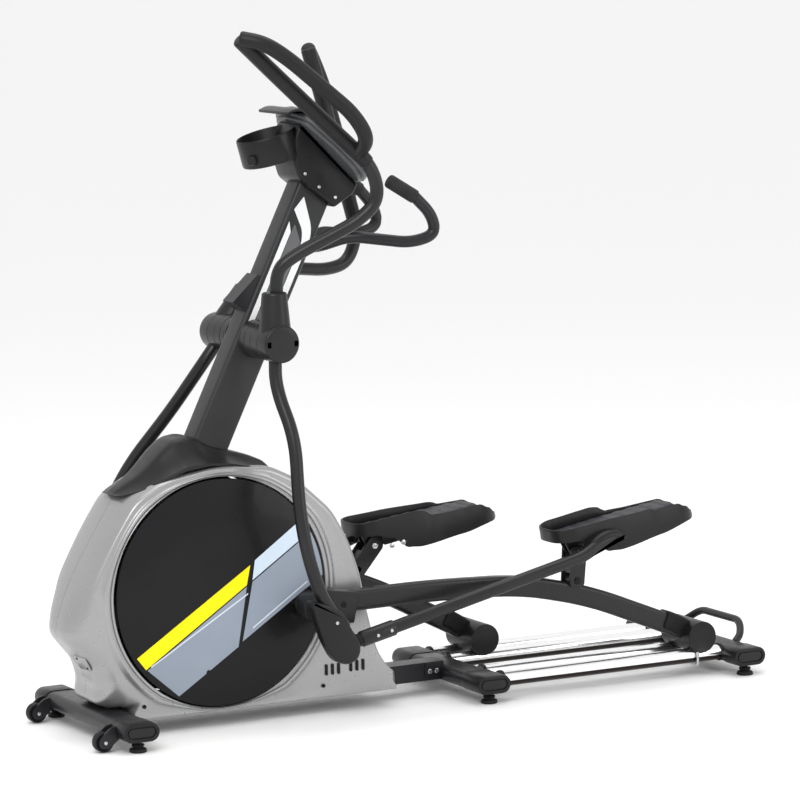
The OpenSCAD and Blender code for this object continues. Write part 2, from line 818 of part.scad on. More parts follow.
base_frame();
front_stabiliser();
mid_stabiliser();
rear_stabiliser();
end_caps();
feet();
wheel_brackets();
transport_wheel_left();
transport_wheel_right();
rails();
rear_handle();
shroud_left();
shroud_right();
top_cover();
access_panel();
screws();
mast();
gusset();
pivot_axle();
console_neck();
console_housing();
console_display();
button_up();
button_start();
button_down();
bottle_holder();
fixed_handlebar();
pulse_grips();
crank_axle();
drive_pulley();
disc_left();
disc_right();
flywheel();
brake_bracket();
carriage_left();
rollers_left();
roller_cover_left();
arm_left();
arm_bracket_left();
rocker_left();
pedal_left();
pedal_mat_left();
link_left();
hub_left();
lower_bar_left();
upper_bar_left();
shoe_left();
carriage_right();
rollers_right();
roller_cover_right();
arm_right();
arm_bracket_right();
rocker_right();
pedal_right();
pedal_mat_right();
link_right();
hub_right();
lower_bar_right();
upper_bar_right();
shoe_right();
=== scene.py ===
import json
import math

import bmesh
import bpy
from mathutils import Matrix, Vector


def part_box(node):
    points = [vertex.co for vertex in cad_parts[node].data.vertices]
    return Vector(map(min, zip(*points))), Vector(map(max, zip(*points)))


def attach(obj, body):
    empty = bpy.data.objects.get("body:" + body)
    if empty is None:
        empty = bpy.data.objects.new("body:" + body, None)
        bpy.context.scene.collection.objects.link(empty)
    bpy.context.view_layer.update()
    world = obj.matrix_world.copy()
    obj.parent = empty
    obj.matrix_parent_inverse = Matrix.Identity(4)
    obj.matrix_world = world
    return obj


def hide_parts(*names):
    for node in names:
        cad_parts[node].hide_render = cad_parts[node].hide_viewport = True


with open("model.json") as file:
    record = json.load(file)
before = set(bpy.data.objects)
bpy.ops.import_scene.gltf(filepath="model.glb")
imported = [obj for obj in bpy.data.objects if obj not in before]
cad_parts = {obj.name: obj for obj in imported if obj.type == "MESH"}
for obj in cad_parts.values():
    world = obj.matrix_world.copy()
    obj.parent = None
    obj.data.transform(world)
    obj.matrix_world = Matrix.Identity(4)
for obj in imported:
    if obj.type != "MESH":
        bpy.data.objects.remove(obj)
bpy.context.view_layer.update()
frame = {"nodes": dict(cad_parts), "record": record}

# The elliptical trainer's looks. Shapes are written in millimetres, in the frame of the group
# they belong to, and become pieces in metres. The left side (-Y) is at the rear end of the
# stride (end 0), the right side at the front end (end 1) and is the mirror image.

MM = 0.001

# ---------- camera, light and floor ----------


def add_camera():
    yaw, pitch, roll = math.radians(-27.832), math.radians(7.48), math.radians(-1.068)
    ahead = Vector((-math.sin(yaw) * math.cos(pitch), math.cos(yaw) * math.cos(pitch), -math.sin(pitch)))
    side = Vector((math.cos(yaw), math.sin(yaw), 0))
    up = side.cross(ahead)
    x = side * math.cos(roll) + up * math.sin(roll)
    y = up * math.cos(roll) - side * math.sin(roll)
    data = bpy.data.cameras.new("camera")
    data.lens = 185.63
    data.sensor_width = 36
    data.clip_end = 400
    camera = bpy.data.objects.new("camera", data)
    camera.matrix_world = Matrix.Translation((-4.9156, -9.3145, 2.1569)) @ Matrix(
        (x, y, -ahead)).transposed().to_4x4()
    bpy.context.scene.collection.objects.link(camera)
    bpy.context.scene.camera = camera
    bpy.context.scene.view_settings.view_transform = "Standard"


def add_light(name, place, target, size, power, tint=(1, 1, 1)):
    data = bpy.data.lights.new(name, "AREA")
    data.shape = "RECTANGLE"
    data.size, data.size_y = size
    data.energy = power
    data.color = tint
    lamp = bpy.data.objects.new(name, data)
    lamp.location = place
    lamp.rotation_euler = (Vector(target) - Vector(place)).to_track_quat("-Z", "Y").to_euler()
    bpy.context.scene.collection.objects.link(lamp)


def add_studio():
    world = bpy.data.worlds.new("studio")
    world.use_nodes = True
    world.node_tree.nodes["Background"].inputs["Color"].default_value = (1, 1, 1, 1)
    world.node_tree.nodes["Background"].inputs["Strength"].default_value = 0.95
    bpy.context.scene.world = world
    add_light("key", (-3.2, -3.4, 4.2), (-0.2, 0, 0.6), (3.0, 2.2), 120)
    add_light("fill", (3.4, -4.2, 2.0), (0.2, 0, 0.5), (2.2, 2.8), 45)
    add_light("top", (0.2, 0.4, 4.6), (0, 0, 0.3), (3.6, 2.4), 60)
    bpy.ops.mesh.primitive_plane_add(size=400)
    floor = bpy.context.object
    floor.name = "floor"
    paint = bpy.data.materials.new("floor")
    paint.use_nodes = True
    bsdf = paint.node_tree.nodes["Principled BSDF"]
    bsdf.inputs["Base Color"].default_value = (0.96, 0.96, 0.96, 1)
    bsdf.inputs["Roughness"].default_value = 0.7
    bsdf.inputs["Specular IOR Level"].default_value = 0.1
    floor.data.materials.append(paint)


add_camera()
add_studio()

# ---------- materials ----------


class Nodes:
    """Short names for the shader nodes of one material."""

    def __init__(self, name):
        self.material = bpy.data.materials.new(name)
        self.material.use_nodes = True
        self.tree = self.material.node_tree
        self.bsdf = self.tree.nodes["Principled BSDF"]
        self.coord = self.tree.nodes.new("ShaderNodeTexCoord").outputs["Object"]

    def link(self, source, socket):
        self.tree.links.new(source, socket)

    def noise(self, scale, detail=3.0, stretch=(1, 1, 1), rough=0.5):
        mapping = self.tree.nodes.new("ShaderNodeMapping")
        mapping.inputs["Scale"].default_value = stretch
        self.link(self.coord, mapping.inputs["Vector"])
        node = self.tree.nodes.new("ShaderNodeTexNoise")
        node.inputs["Scale"].default_value = scale
        node.inputs["Detail"].default_value = detail
        node.inputs["Roughness"].default_value = rough
        self.link(mapping.outputs["Vector"], node.inputs["Vector"])
        return node.outputs["Fac"]

    def math(self, operation, a, b=0.0):
        node = self.tree.nodes.new("ShaderNodeMath")
        node.operation = operation
        for value, socket in ((a, node.inputs[0]), (b, node.inputs[1])):
            if isinstance(value, (int, float)):
                socket.default_value = value
            else:
                self.link(value, socket)
        return node.outputs["Value"]

    def spread(self, value, low, high, start=0.3, stop=0.7):
        node = self.tree.nodes.new("ShaderNodeMapRange")
        self.link(value, node.inputs["Value"])
        for key, number in (("From Min", start), ("From Max", stop), ("To Min", low), ("To Max", high)):
            node.inputs[key].default_value = number
        return node.outputs["Result"]

    def mix(self, factor, a, b):
        node = self.tree.nodes.new("ShaderNodeMix")
        node.data_type = "RGBA"
        self.link(factor, node.inputs["Factor"])
        for value, socket in ((a, node.inputs[6]), (b, node.inputs[7])):
            if isinstance(value, tuple):
                socket.default_value = (*value, 1)
            else:
                self.link(value, socket)
        return node.outputs[2]

    def bump(self, height, strength, distance=0.0004):
        node = self.tree.nodes.new("ShaderNodeBump")
        node.inputs["Strength"].default_value = strength
        node.inputs["Distance"].default_value = distance
        self.link(height, node.inputs["Height"])
        self.link(node.outputs["Normal"], self.bsdf.inputs["Normal"])


def surface(name, colour, rough, metallic=0.0, coat=0.0, grain=0.15, grain_scale=900, tone=0.12,
            stretch=(1, 1, 1), smudge=0.06):
    """A moulded, painted or metal surface with tone, roughness and grain that vary over it."""
    n = Nodes(name)
    n.bsdf.inputs["Metallic"].default_value = metallic
    n.bsdf.inputs["Coat Weight"].default_value = coat
    n.bsdf.inputs["Specular IOR Level"].default_value = 0.24 if max(colour) < 0.05 else 0.5
    n.bsdf.inputs["Coat Roughness"].default_value = 0.25
    broad = n.noise(7, 4)
    dark = tuple(c * (1 - tone) for c in colour)
    light = tuple(min(1, c * (1 + tone)) for c in colour)
    n.link(n.mix(n.spread(broad, 0, 1), dark, light), n.bsdf.inputs["Base Color"])
    worn = n.noise(38, 5, stretch, 0.65)
    n.link(n.spread(worn, rough - smudge, rough + smudge), n.bsdf.inputs["Roughness"])
    n.bump(n.noise(grain_scale, 2, stretch), grain)
    return n.material


def inside(n, x, z, corners):
    """1 inside a convex outline given in millimetres about the crank, else 0."""
    area = sum(a[0] * b[1] - b[0] * a[1] for a, b in zip(corners, corners[1:] + corners[:1]))
    turn = 1 if area > 0 else -1
    mask = None
    for a, b in zip(corners, corners[1:] + corners[:1]):
        nx, nz = -(b[1] - a[1]) * turn, (b[0] - a[0]) * turn
        side = n.math("ADD", n.math("MULTIPLY", x, nx), n.math("MULTIPLY", z, nz))
        test = n.math("GREATER_THAN", side, nx * a[0] * MM + nz * a[1] * MM)
        mask = test if mask is None else n.math("MULTIPLY", mask, test)
    return mask


BANDS = (
    ((0.95, 0.80, 0.0), ((-237, -143), (-213, -174), (69, 12), (80, 62))),
    ((0.26, 0.30, 0.36), ((-209, -176), (69, 8), (42, -142), (-125, -250))),
    ((0.58, 0.68, 0.78), ((93, 73), (290, 210), (290, 160), (85, 23))),
    ((0.26, 0.30, 0.36), ((85, 19), (290, 156), (290, 24), (54, -130))),
    ((0.60, 0.66, 0.74), ((-200, -167), (-198, -170), (72, -12), (72, -8))),
    ((0.62, 0.68, 0.76), ((84, -96), (82, -101), (238, 3), (238, 7))),
)


def disc_surface(name, flip):
    """Satin black with slanted printed bands, placed about the crank axle."""
    n = Nodes(name)
    split = n.tree.nodes.new("ShaderNodeSeparateXYZ")
    n.link(n.coord, split.inputs["Vector"])
    x = n.math("SUBTRACT", split.outputs["X"], crank[0] * MM)
    z = n.math("MULTIPLY", n.math("SUBTRACT", split.outputs["Z"], crank[1] * MM), -1 if flip else 1)
    broad = n.spread(n.noise(6, 4), 0, 1)
    colour = n.mix(broad, (0.003, 0.003, 0.0035), (0.005, 0.005, 0.006))
    rim = n.math("LESS_THAN", n.math("SQRT", n.math(
        "ADD", n.math("MULTIPLY", x, x), n.math("MULTIPLY", z, z))), 0.2825)
    for paint, corners in BANDS:
        shade = n.mix(broad, tuple(c * 0.95 for c in paint), tuple(min(1, c * 1.05) for c in paint))
        colour = n.mix(n.math("MULTIPLY", inside(n, x, z, list(corners)), rim), colour, shade)
    n.link(colour, n.bsdf.inputs["Base Color"])
    n.link(n.spread(n.noise(45, 5, rough=0.65), 0.30, 0.42), n.bsdf.inputs["Roughness"])
    n.bsdf.inputs["Coat Weight"].default_value = 0.06
    n.bsdf.inputs["Specular IOR Level"].default_value = 0.2
    n.bump(n.noise(1100, 2), 0.08)
    return n.material


def rail_surface():
    """Chromed above, with a painted dark reflection along the lower half of the tube."""
    n = Nodes("rail")
    n.bsdf.inputs["Metallic"].default_value = 1
    split = n.tree.nodes.new("ShaderNodeSeparateXYZ")
    n.link(n.coord, split.inputs["Vector"])
    # Painted reflection: below this height the chrome is painted near black, standing in for the dark
    # surroundings mirrored on the tube's lower side.
    low = n.math("LESS_THAN", split.outputs["Z"], 0.0525)
    streak = n.spread(n.noise(60, 5, (0.4, 8, 8)), 0, 1)
    bright = n.mix(streak, (0.92, 0.92, 0.93), (0.98, 0.98, 0.98))
    n.link(n.mix(low, bright, (0.035, 0.03, 0.028)), n.bsdf.inputs["Base Color"])
    n.link(n.spread(n.noise(120, 4, (0.2, 6, 6)), 0.16, 0.26), n.bsdf.inputs["Roughness"])
    n.bump(n.noise(1500, 2, (0.05, 1, 1)), 0.05)
    return n.material


def mat_surface():
    """Purplish black ribbed rubber with fine pores."""
    n = Nodes("mat")
    broad = n.spread(n.noise(14, 5), 0, 1)
    n.link(n.mix(broad, (0.012, 0.011, 0.015), (0.026, 0.023, 0.032)), n.bsdf.inputs["Base Color"])
    n.link(n.spread(n.noise(70, 4), 0.45, 0.62), n.bsdf.inputs["Roughness"])
    n.bump(n.noise(1400, 3), 0.3)
    return n.material


def foam_surface():
    """Black cellular foam."""
    n = Nodes("foam")
    cells = n.tree.nodes.new("ShaderNodeTexVoronoi")
    cells.inputs["Scale"].default_value = 900
    n.link(n.coord, cells.inputs["Vector"])
    n.link(n.mix(n.spread(n.noise(25, 4), 0, 1), (0.004, 0.004, 0.005), (0.009, 0.009, 0.010)),
           n.bsdf.inputs["Base Color"])
    n.link(n.spread(n.noise(60, 4), 0.7, 0.85), n.bsdf.inputs["Roughness"])
    n.bump(cells.outputs["Distance"], 0.45)
    return n.material


# ---------- the mechanism's frames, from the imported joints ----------

joints = {j["name"]: j for j in frame["record"]["behaviour"]["joints"]}


def joint_at(name):
    """A joint's (x, z)."""
    x, _, z = joints[name]["pos_m"]
    return x / MM, z / MM


crank = joint_at("crank_spin")
pivot = joint_at("left_handlebar")
SIDES = ("left", "right")
CRANK_R, CRANK_ANGLE = 242, 12
ARM_LEN, LINK_LEN, ROCKER_LEN = 1133, 732.2, 75.9
LINK_SLOPE = (11.3, 8.24)
ROCKER_LEAN = (4.6, 39.4)
SWING = (0, 34.05)
MAST_LEAN, CONSOLE_LEAN, CUP_LEAN = 26.2, 45, 15
PEDAL_DROP, LINK_DROP, PEDAL_TILT = 1.4, 1.3, 3.5
RAIL_Y, RAIL_Z, RAIL_R = (-192, -96, 96, 192), 56, 20


def frame_at(point, angle=0):
    """A frame at (x, z), turned about +Y, that takes millimetres to metres."""
    return (Matrix.Translation((point[0] * MM, 0, point[1] * MM))
            @ Matrix.Rotation(math.radians(angle), 4, "Y") @ Matrix.Scale(MM, 4))


def arm_frame(end):
    """Along a pedal arm, from the crank pin towards the roller."""
    turn = math.radians(CRANK_ANGLE)
    sign = 1 if end == 0 else -1
    pin = crank[0] + sign * CRANK_R * math.cos(turn), crank[1] - sign * CRANK_R * math.sin(turn)
    tilt = math.degrees(math.asin((pin[1] - joint_at(SIDES[end] + "_arm")[1]) / ARM_LEN))
    return frame_at(pin, tilt)


def rocker_frame(end):
    """Up the post that carries a pedal."""
    return frame_at(joint_at(SIDES[end] + "_rocker"), ROCKER_LEAN[end])


def link_frame(end, extra):
    """Along a link, with its origin at the pedal's joint."""
    return frame_at(joint_at(SIDES[end] + "_pedal"), -LINK_SLOPE[end] - extra)


def bar_frame(end):
    """A swinging handlebar, with its origin at its pivot."""
    return frame_at(pivot, SWING[end])


BASE = frame_at((0, 0))
CRANK = frame_at((crank[0], 0))
AXLE = frame_at(crank)
MAST = frame_at(pivot, MAST_LEAN)
CONSOLE = frame_at((crank[0] + 362, 1440), CONSOLE_LEAN)

# ---------- shape helpers ----------


def bend(points, reach, steps=10):
    """An open path with each inner corner eased."""
    pts = [Vector(p) for p in points]
    out = [pts[0]]
    for before, here, after in zip(pts, pts[1:], pts[2:]):
        a = here + (before - here).normalized() * min(reach, (before - here).length * 0.49)
        b = here + (after - here).normalized() * min(reach, (after - here).length * 0.49)
        out += [a * (1 - t) ** 2 + here * (2 * t * (1 - t)) + b * t * t
                for t in (k / steps for k in range(steps + 1))]
    return out + [pts[-1]]


def soft(corners, steps=8):
    """A closed outline; each corner is (x, y, easing distance)."""
    out = []
    count = len(corners)
    for i, (x, y, reach) in enumerate(corners):
        here = Vector((x, y))
        before, after = Vector(corners[i - 1][:2]), Vector(corners[(i + 1) % count][:2])
        if reach == 0:
            out.append(here)
            continue
        a = here + (before - here).normalized() * min(reach, (before - here).length * 0.49)
        b = here + (after - here).normalized() * min(reach, (after - here).length * 0.49)
        out += [a * (1 - t) ** 2 + here * (2 * t * (1 - t)) + b * t * t
                for t in (k / steps for k in range(steps + 1))]
    return out


def stadium(width, height, steps=14):
    """A bar outline with round ends."""
    side = (width - height) / 2
    return [Vector((s * (side + height / 2 * math.sin(math.pi * k / steps)),
                    -s * height / 2 * math.cos(math.pi * k / steps)))
            for s in (-1, 1) for k in range(steps + 1)]


def rounded(half_up, half_across, reach):
    """A rectangle with eased corners."""
    u, a = half_up, half_across
    return soft([(u, -a, reach), (u, a, reach), (-u, a, reach), (-u, -a, reach)], 6)


def circle(radius, steps=28):
    return [Vector((radius * math.cos(2 * math.pi * k / steps), radius * math.sin(2 * math.pi * k / steps)))
            for k in range(steps)]


def inset(outline, depth):
    """The outline moved inwards by depth."""
    area = sum(a.x * b.y - b.x * a.y for a, b in zip(outline, outline[1:] + outline[:1]))
    turn = 1 if area > 0 else -1
    out = []
    count = len(outline)
    for i, here in enumerate(outline):
        back, ahead = here - outline[i - 1], outline[(i + 1) % count] - here
        if back.length < 1e-6 or ahead.length < 1e-6:
            along = (back + ahead).normalized()
            out.append(here + Vector((-along.y, along.x)) * turn * depth)
            continue
        back.normalize()
        ahead.normalize()
        along = (back + ahead).normalized()
        normal = Vector((-along.y, along.x)) * turn
        stretch = 1 / max(0.5, normal.dot(Vector((-ahead.y, ahead.x)) * turn))
        out.append(here + normal * depth * stretch)
    return out


def value_at(points, x, ease=False):
    """The value at x on straight lines, or on eased steps, through (x, value) points."""
    if x <= points[0][0]:
        return points[0][1]
    for (x0, v0), (x1, v1) in zip(points, points[1:]):
        if x <= x1:
            t = (x - x0) / (x1 - x0)
            return v0 + (v1 - v0) * (t * t * (3 - 2 * t) if ease else t)
    return points[-1][1]


def loft(rings, start=True, finish=True):
    """Skin over closed rings of the same count."""
    count = len(rings[0])
    verts = [Vector(p) for ring in rings for p in ring]
    faces = [(i * count + j, i * count + (j + 1) % count, (i + 1) * count + (j + 1) % count,
              (i + 1) * count + j) for i in range(len(rings) - 1) for j in range(count)]
    if start:
        faces.append(tuple(range(count - 1, -1, -1)))
    if finish:
        faces.append(tuple((len(rings) - 1) * count + j for j in range(count)))
    return verts, faces


def sweep(path, outline, ref=(0, 1, 0), edge=1.5):
    """An outline of (up, across) carried along a path, with its end edges rounded."""
    pts = [Vector(p) for p in path]
    ref = Vector(ref)
    size = max(p.length for p in outline)

    def ring(centre, along, scale):
        up = along.cross(ref).normalized()
        across = up.cross(along)
        return [centre + up * p.x * scale + across * p.y * scale for p in outline]

    rings = []
    last = len(pts) - 1
    for i, here in enumerate(pts):
        along = (pts[min(i + 1, last)] - pts[max(i - 1, 0)]).normalized()
        if edge and i == 0:
            rings += [ring(here + along * edge * (1 - math.sin(a)), along, 1 - edge * (1 - math.cos(a)) / size)
                      for a in (math.radians(d) for d in (90, 60, 30, 0))]
        elif edge and i == last:
            rings += [ring(here - along * edge * (1 - math.sin(a)), along, 1 - edge * (1 - math.cos(a)) / size)
                      for a in (math.radians(d) for d in (0, 30, 60, 90))]
        else:
            rings.append(ring(here, along, 1))
    return loft(rings)


def tube(path, radius, ref=(0, 1, 0), edge=1.5, steps=28):
    return sweep(path, circle(radius, steps), ref, edge)


def plate(outline, y0, y1, edge=3, steps=4):
    """An outline of (x, z) between two y values, with rounded edges."""
    return plate_rings(outline, y0, y1, edge, edge, steps)


def plate_rings(outline, y0, y1, near, far, steps):
    """A plate whose two edges are rounded by their own amounts."""
    rings = []
    for k in range(steps + 1):
        a = math.radians(90 * k / steps)
        rings.append((y0 + near * (1 - math.cos(a)), near * (1 - math.sin(a))))
    for k in range(steps, -1, -1):
        a = math.radians(90 * k / steps)
        rings.append((y1 - far * (1 - math.cos(a)), far * (1 - math.sin(a))))
    return loft([[Vector((p.x, y, p.y)) for p in inset(outline, depth)] for y, depth in rings])


def lathe(profile, steps=72):
    """A profile of (radius, y) turned about the Y axis."""
    return loft([[Vector((r * math.cos(2 * math.pi * k / steps), y, r * math.sin(2 * math.pi * k / steps)))
                  for k in range(steps)] for r, y in profile])


def moved(shape, offset=(0, 0, 0), turn=0, axis="Y", scale=(1, 1, 1)):
    return placed(shape, Matrix.Translation(offset) @ Matrix.Rotation(math.radians(turn), 4, axis)
                  @ Matrix.Diagonal((*scale, 1)))


def placed(shape, matrix):
    """A copy of the shape, carried by a matrix."""
    return [matrix @ v for v in shape[0]], shape[1]


def both(*shapes):
    """The shapes and their mirror images across the middle plane."""
    flip = Matrix.Diagonal((1, -1, 1, 1))
    return list(shapes) + [placed(s, flip) for s in shapes]


def hex_bolt(radius, y0, y1):
    """A hexagon head between two y values; y0 is the outer face."""
    step = (y1 - y0) * 0.25
    return lathe([(radius * 0.82, y0), (radius, y0 + step), (radius, y1)], 6)


def cap_screw(radius, y0, y1):
    """A round head with a recess; y0 is the outer face."""
    grow = (y1 - y0) * 0.4
    return lathe([(radius * 0.45, y0 + grow), (radius * 0.45, y0), (radius * 0.8, y0),
                  (radius, y0 + grow), (radius, y1)], 24)


def piece(name, shapes, paint, body, where=BASE, mirror=False, stands_for=(), crease=38):
    """One named object that rides on a body."""
    if isinstance(shapes, tuple):
        shapes = [shapes]
    if mirror:
        where = Matrix.Diagonal((1, -1, 1, 1)) @ where
    built = bmesh.new()
    for verts, faces in shapes:
        made = [built.verts.new(where @ v) for v in verts]
        for face in faces:
            corners = [made[i] for i in face]
            if len(set(corners)) >= 3:
                built.faces.new(corners)
    bmesh.ops.remove_doubles(built, verts=built.verts, dist=1e-6)
    bmesh.ops.recalc_face_normals(built, faces=built.faces)
    mesh = bpy.data.meshes.new(name)
    built.to_mesh(mesh)
    built.free()
    mesh.shade_smooth()
    mesh.set_sharp_from_angle(angle=math.radians(crease))
    obj = bpy.data.objects.new(name, mesh)
    bpy.context.scene.collection.objects.link(obj)
    mesh.materials.append(paint)
    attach(obj, body)
    if stands_for:
        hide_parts(*stands_for)


def finish_node(name, paint, bevel=0.0015):
    """Keeps a CAD node, with its edges eased and a finish of its own."""
    obj = frame["nodes"][name]
    obj.data.materials.clear()
    obj.data.materials.append(paint)
    obj.data.shade_smooth()
    obj.data.set_sharp_from_angle(angle=math.radians(32))
    if bevel:
        edge = obj.modifiers.new("edge", "BEVEL")
        edge.width = bevel
        edge.segments = 3
        edge.limit_method = "ANGLE"
        edge.angle_limit = math.radians(40)
        edge.harden_normals = True


PAINT = surface("frame_paint", (0.013, 0.013, 0.015), 0.33, grain=0.12, grain_scale=1400, coat=0.1)
ARM = surface("arm_paint", (0.014, 0.014, 0.015), 0.31, grain=0.12, grain_scale=1400, coat=0.1)
MAST_PAINT = surface("mast_paint", (0.026, 0.026, 0.027), 0.34, grain=0.14, grain_scale=1300)
HUB = surface("pivot_paint", (0.022, 0.022, 0.023), 0.34, metallic=0.3, grain=0.1, grain_scale=1300)
SILVER = surface("silver", (0.33, 0.33, 0.335), 0.30, metallic=0.6, coat=0.15, grain=0.02,
                 grain_scale=240, tone=0.03, smudge=0.04)
CHARCOAL = surface("charcoal", (0.014, 0.014, 0.015), 0.36, grain=0.22, grain_scale=1100)
BLACK = surface("black_plastic", (0.009, 0.009, 0.010), 0.33, grain=0.2, grain_scale=1000)
DULL = surface("dull_black", (0.005, 0.005, 0.006), 0.6, grain=0.3, grain_scale=900)
PEDAL = surface("pedal", (0.010, 0.010, 0.011), 0.32, grain=0.25, grain_scale=1200)
RUBBER = surface("rubber", (0.008, 0.008, 0.009), 0.6, grain=0.35, grain_scale=800)
STEEL = surface("steel", (0.55, 0.55, 0.57), 0.26, metallic=1, grain=0.08, stretch=(1, 6, 1), tone=0.05)
IRON = surface("iron", (0.16, 0.16, 0.17), 0.45, metallic=1, grain=0.3, grain_scale=600)
GREY = surface("console_grey", (0.075, 0.078, 0.084), 0.34, grain=0.18, grain_scale=1100)
DECAL = surface("decal_white", (0.78, 0.79, 0.80), 0.34, grain=0.04, tone=0.02)
DECAL_GREY = surface("decal_grey", (0.10, 0.10, 0.105), 0.36, grain=0.04, tone=0.03)
GLASS = surface("display_glass", (0.010, 0.013, 0.016), 0.12, coat=0.6, grain=0.01, tone=0.1)
GLOW = surface("display_marks", (0.30, 0.38, 0.42), 0.3, grain=0.02, tone=0.05)
BLUE = surface("button_blue", (0.05, 0.16, 0.42), 0.3, grain=0.05)
RED = surface("button_red", (0.45, 0.04, 0.03), 0.3, grain=0.05)
GRIP = surface("moulded_grip", (0.010, 0.010, 0.011), 0.42, grain=0.3, grain_scale=1500)
RAIL = rail_surface()
MAT = mat_surface()
FOAM = foam_surface()

# ---------- floor frame ----------

STAB_Z = 52
STABS = {"front_stabiliser": 280, "mid_stabiliser": 238, "rear_stabiliser": 280}


def node_middle(name):
    """The middle of a CAD node's box, in millimetres."""
    low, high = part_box(name)
    return (low + high) / 2 / MM


def ring_at(outline, y):
    return [Vector((p.x, y, p.y)) for p in outline]


caps = []
panels = []
feet = []
foot_y = {"front_stabiliser": 252, "mid_stabiliser": 206, "rear_stabiliser": 252}
for node, half in STABS.items():
    x = node_middle(node).x
    body = [ring_at(stadium(92, 44), y) for y in (-half + 16, half - 16)]
    piece(node.replace("stabiliser", "stabiliser_tube"), moved(loft(body), (x, 0, STAB_Z)), PAINT,
          "frame", stands_for=[node])
    sleeve = 66 if node != "mid_stabiliser" else 96
    rings = [(92.2, 44.2, sleeve), (95.2, 47.2, sleeve), (96, 48, sleeve - 1.5), (96, 48, 3),
             (94.5, 46.5, 0.8), (91, 43, 0), (79, 31, 0), (77, 29, 0.8), (75.5, 27.5, 4.5)]
    shell = loft([ring_at(stadium(w, h), -half + depth) for w, h, depth in rings], start=False)
    caps += both(moved(shell, (x, 0, STAB_Z)))
    panel = loft([ring_at(stadium(w, h), -half + depth) for w, h, depth in
                  ((66, 18, 1.2), (70, 22, 1.6), (71, 23, 3), (71, 23, 5))])
    panels += both(moved(panel, (x, 0, STAB_Z)))
    foot = loft([[Vector((p.x, p.y, z)) for p in circle(r, 40)] for r, z in
                 ((19, 0), (21.6, 1.5), (22, 3.5), (20.5, 9), (19, 10), (13.5, 10.6), (13, 12),
                  (16, 18), (15, 20), (7, 20.5), (7, 30))])
    feet += both(moved(foot, (x, -foot_y[node], 0)))
piece("end_cap_sleeves", caps, BLACK, "frame", stands_for=["end_caps"])
piece("end_cap_panels", panels, CHARCOAL, "frame")
piece("levelling_feet", feet, RUBBER, "frame", stands_for=["feet"])

finish_node("base_frame", PAINT, 0.003)
finish_node("wheel_brackets", PAINT, 0.002)
finish_node("brake_bracket", PAINT)
finish_node("crank_axle", STEEL)
finish_node("drive_pulley", BLACK)
finish_node("flywheel", IRON)

# Transport wheels: tread, web, hub and axle ends.
for side, sign in (("left", -1), ("right", 1)):
    middle = node_middle("transport_wheel_" + side)
    x, z = middle.x, middle.z
    wheel = lathe([(5, -11), (9, -11), (9.6, -8), (18, -7.5), (19.5, -11), (23, -12), (24.5, -10.6),
                   (24.8, -8), (24.8, 8), (24.5, 10.6), (23, 12), (19.5, 11), (18, 7.5), (9.6, 8),
                   (9, 11), (5, 11)], 64)
    piece("wheel_tread_" + side, moved(wheel, (x, sign * 208, z)), RUBBER, "wheel_" + side,
          stands_for=["transport_wheel_" + side])
    axle = lathe([(3, -21), (4.6, -20.4), (5, -19.5), (5, 19.5), (4.6, 20.4), (3, 21)], 32)
    piece("wheel_axle_" + side, moved(axle, (x, sign * 208, z)), STEEL, "wheel_" + side)

low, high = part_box("rails")
rails = [tube([(low.x / MM, y, RAIL_Z), (high.x / MM, y, RAIL_Z)], RAIL_R, (0, 0, 1), 0, 64)
         for y in RAIL_Y]
piece("rail_tubes", rails, RAIL, "frame", stands_for=["rails"])

rear = node_middle("rear_stabiliser").x
handle = bend([(rear + 36, -148, 66), (rear + 62, -136, 84), (rear + 84, -96, 113),
               (rear + 84, 96, 113), (rear + 62, 136, 84), (rear + 36, 148, 66)], 26)
piece("lift_handle", tube(handle, 10.2, (1, 0, 0), 0), PAINT, "frame",
      stands_for=["rear_handle"])

mid = node_middle("mid_stabiliser").x
clamps = []
for y in RAIL_Y:
    for x in (mid + 34, rear - 34):
        clamps.append(moved(lathe([(20.6, -5), (23, -4.4), (23.6, -3), (23.6, 3), (23, 4.4), (20.6, 5)], 56),
                            (x + (8 if x < 500 else -8), y, RAIL_Z), 90, "Z"))
clamps += both(plate(soft([(mid - 92, 42, 4), (mid - 47, 42, 4), (mid - 47, 84, 4), (mid - 92, 84, 4)]),
                     -33.5, -30.2, 1))
piece("rail_collars", clamps, BLACK, "frame")
bolts = [moved(hex_bolt(7, -39, -33.5), (mid - x, 0, 63)) for x in (80, 60)]
piece("base_bolts", both(*bolts), STEEL, "frame")

# ---------- covers ----------

# The silver cover's outline as (x, z, easing), and the radius of its round opening.
SHROUD = [(-292, 74.1, 6), (-330, 92, 12), (-322, 135, 16), (-338, 184, 18), (-375, 226, 22),
          (-402, 260, 18), (-394, 310, 24), (-355, 405, 30), (-292, 508, 30), (-232, 600, 30),
          (-150, 640, 30), (20, 664, 40), (150, 652, 26), (224, 616, 24), (325, 524, 30),
          (372, 440, 30), (402, 350, 30), (416, 270, 30), (447, 146, 30), (476, 104, 14),
          (496, 88, 8), (496, 44, 4), (-240, 44, 4), (-244, 74.1, 4)]
OPENING = 291


def even(outline, step):
    """The outline again, with points about step apart."""
    out = []
    for a, b in zip(outline, outline[1:] + outline[:1]):
        parts = max(1, round((b - a).length / step))
        out += [a.lerp(b, k / parts) for k in range(parts)]
    return out


def rise(value, low, high):
    """0 below low, 1 above high, smooth between."""
    t = min(1, max(0, (value - low) / (high - low)))
    return t * t * (3 - 2 * t)


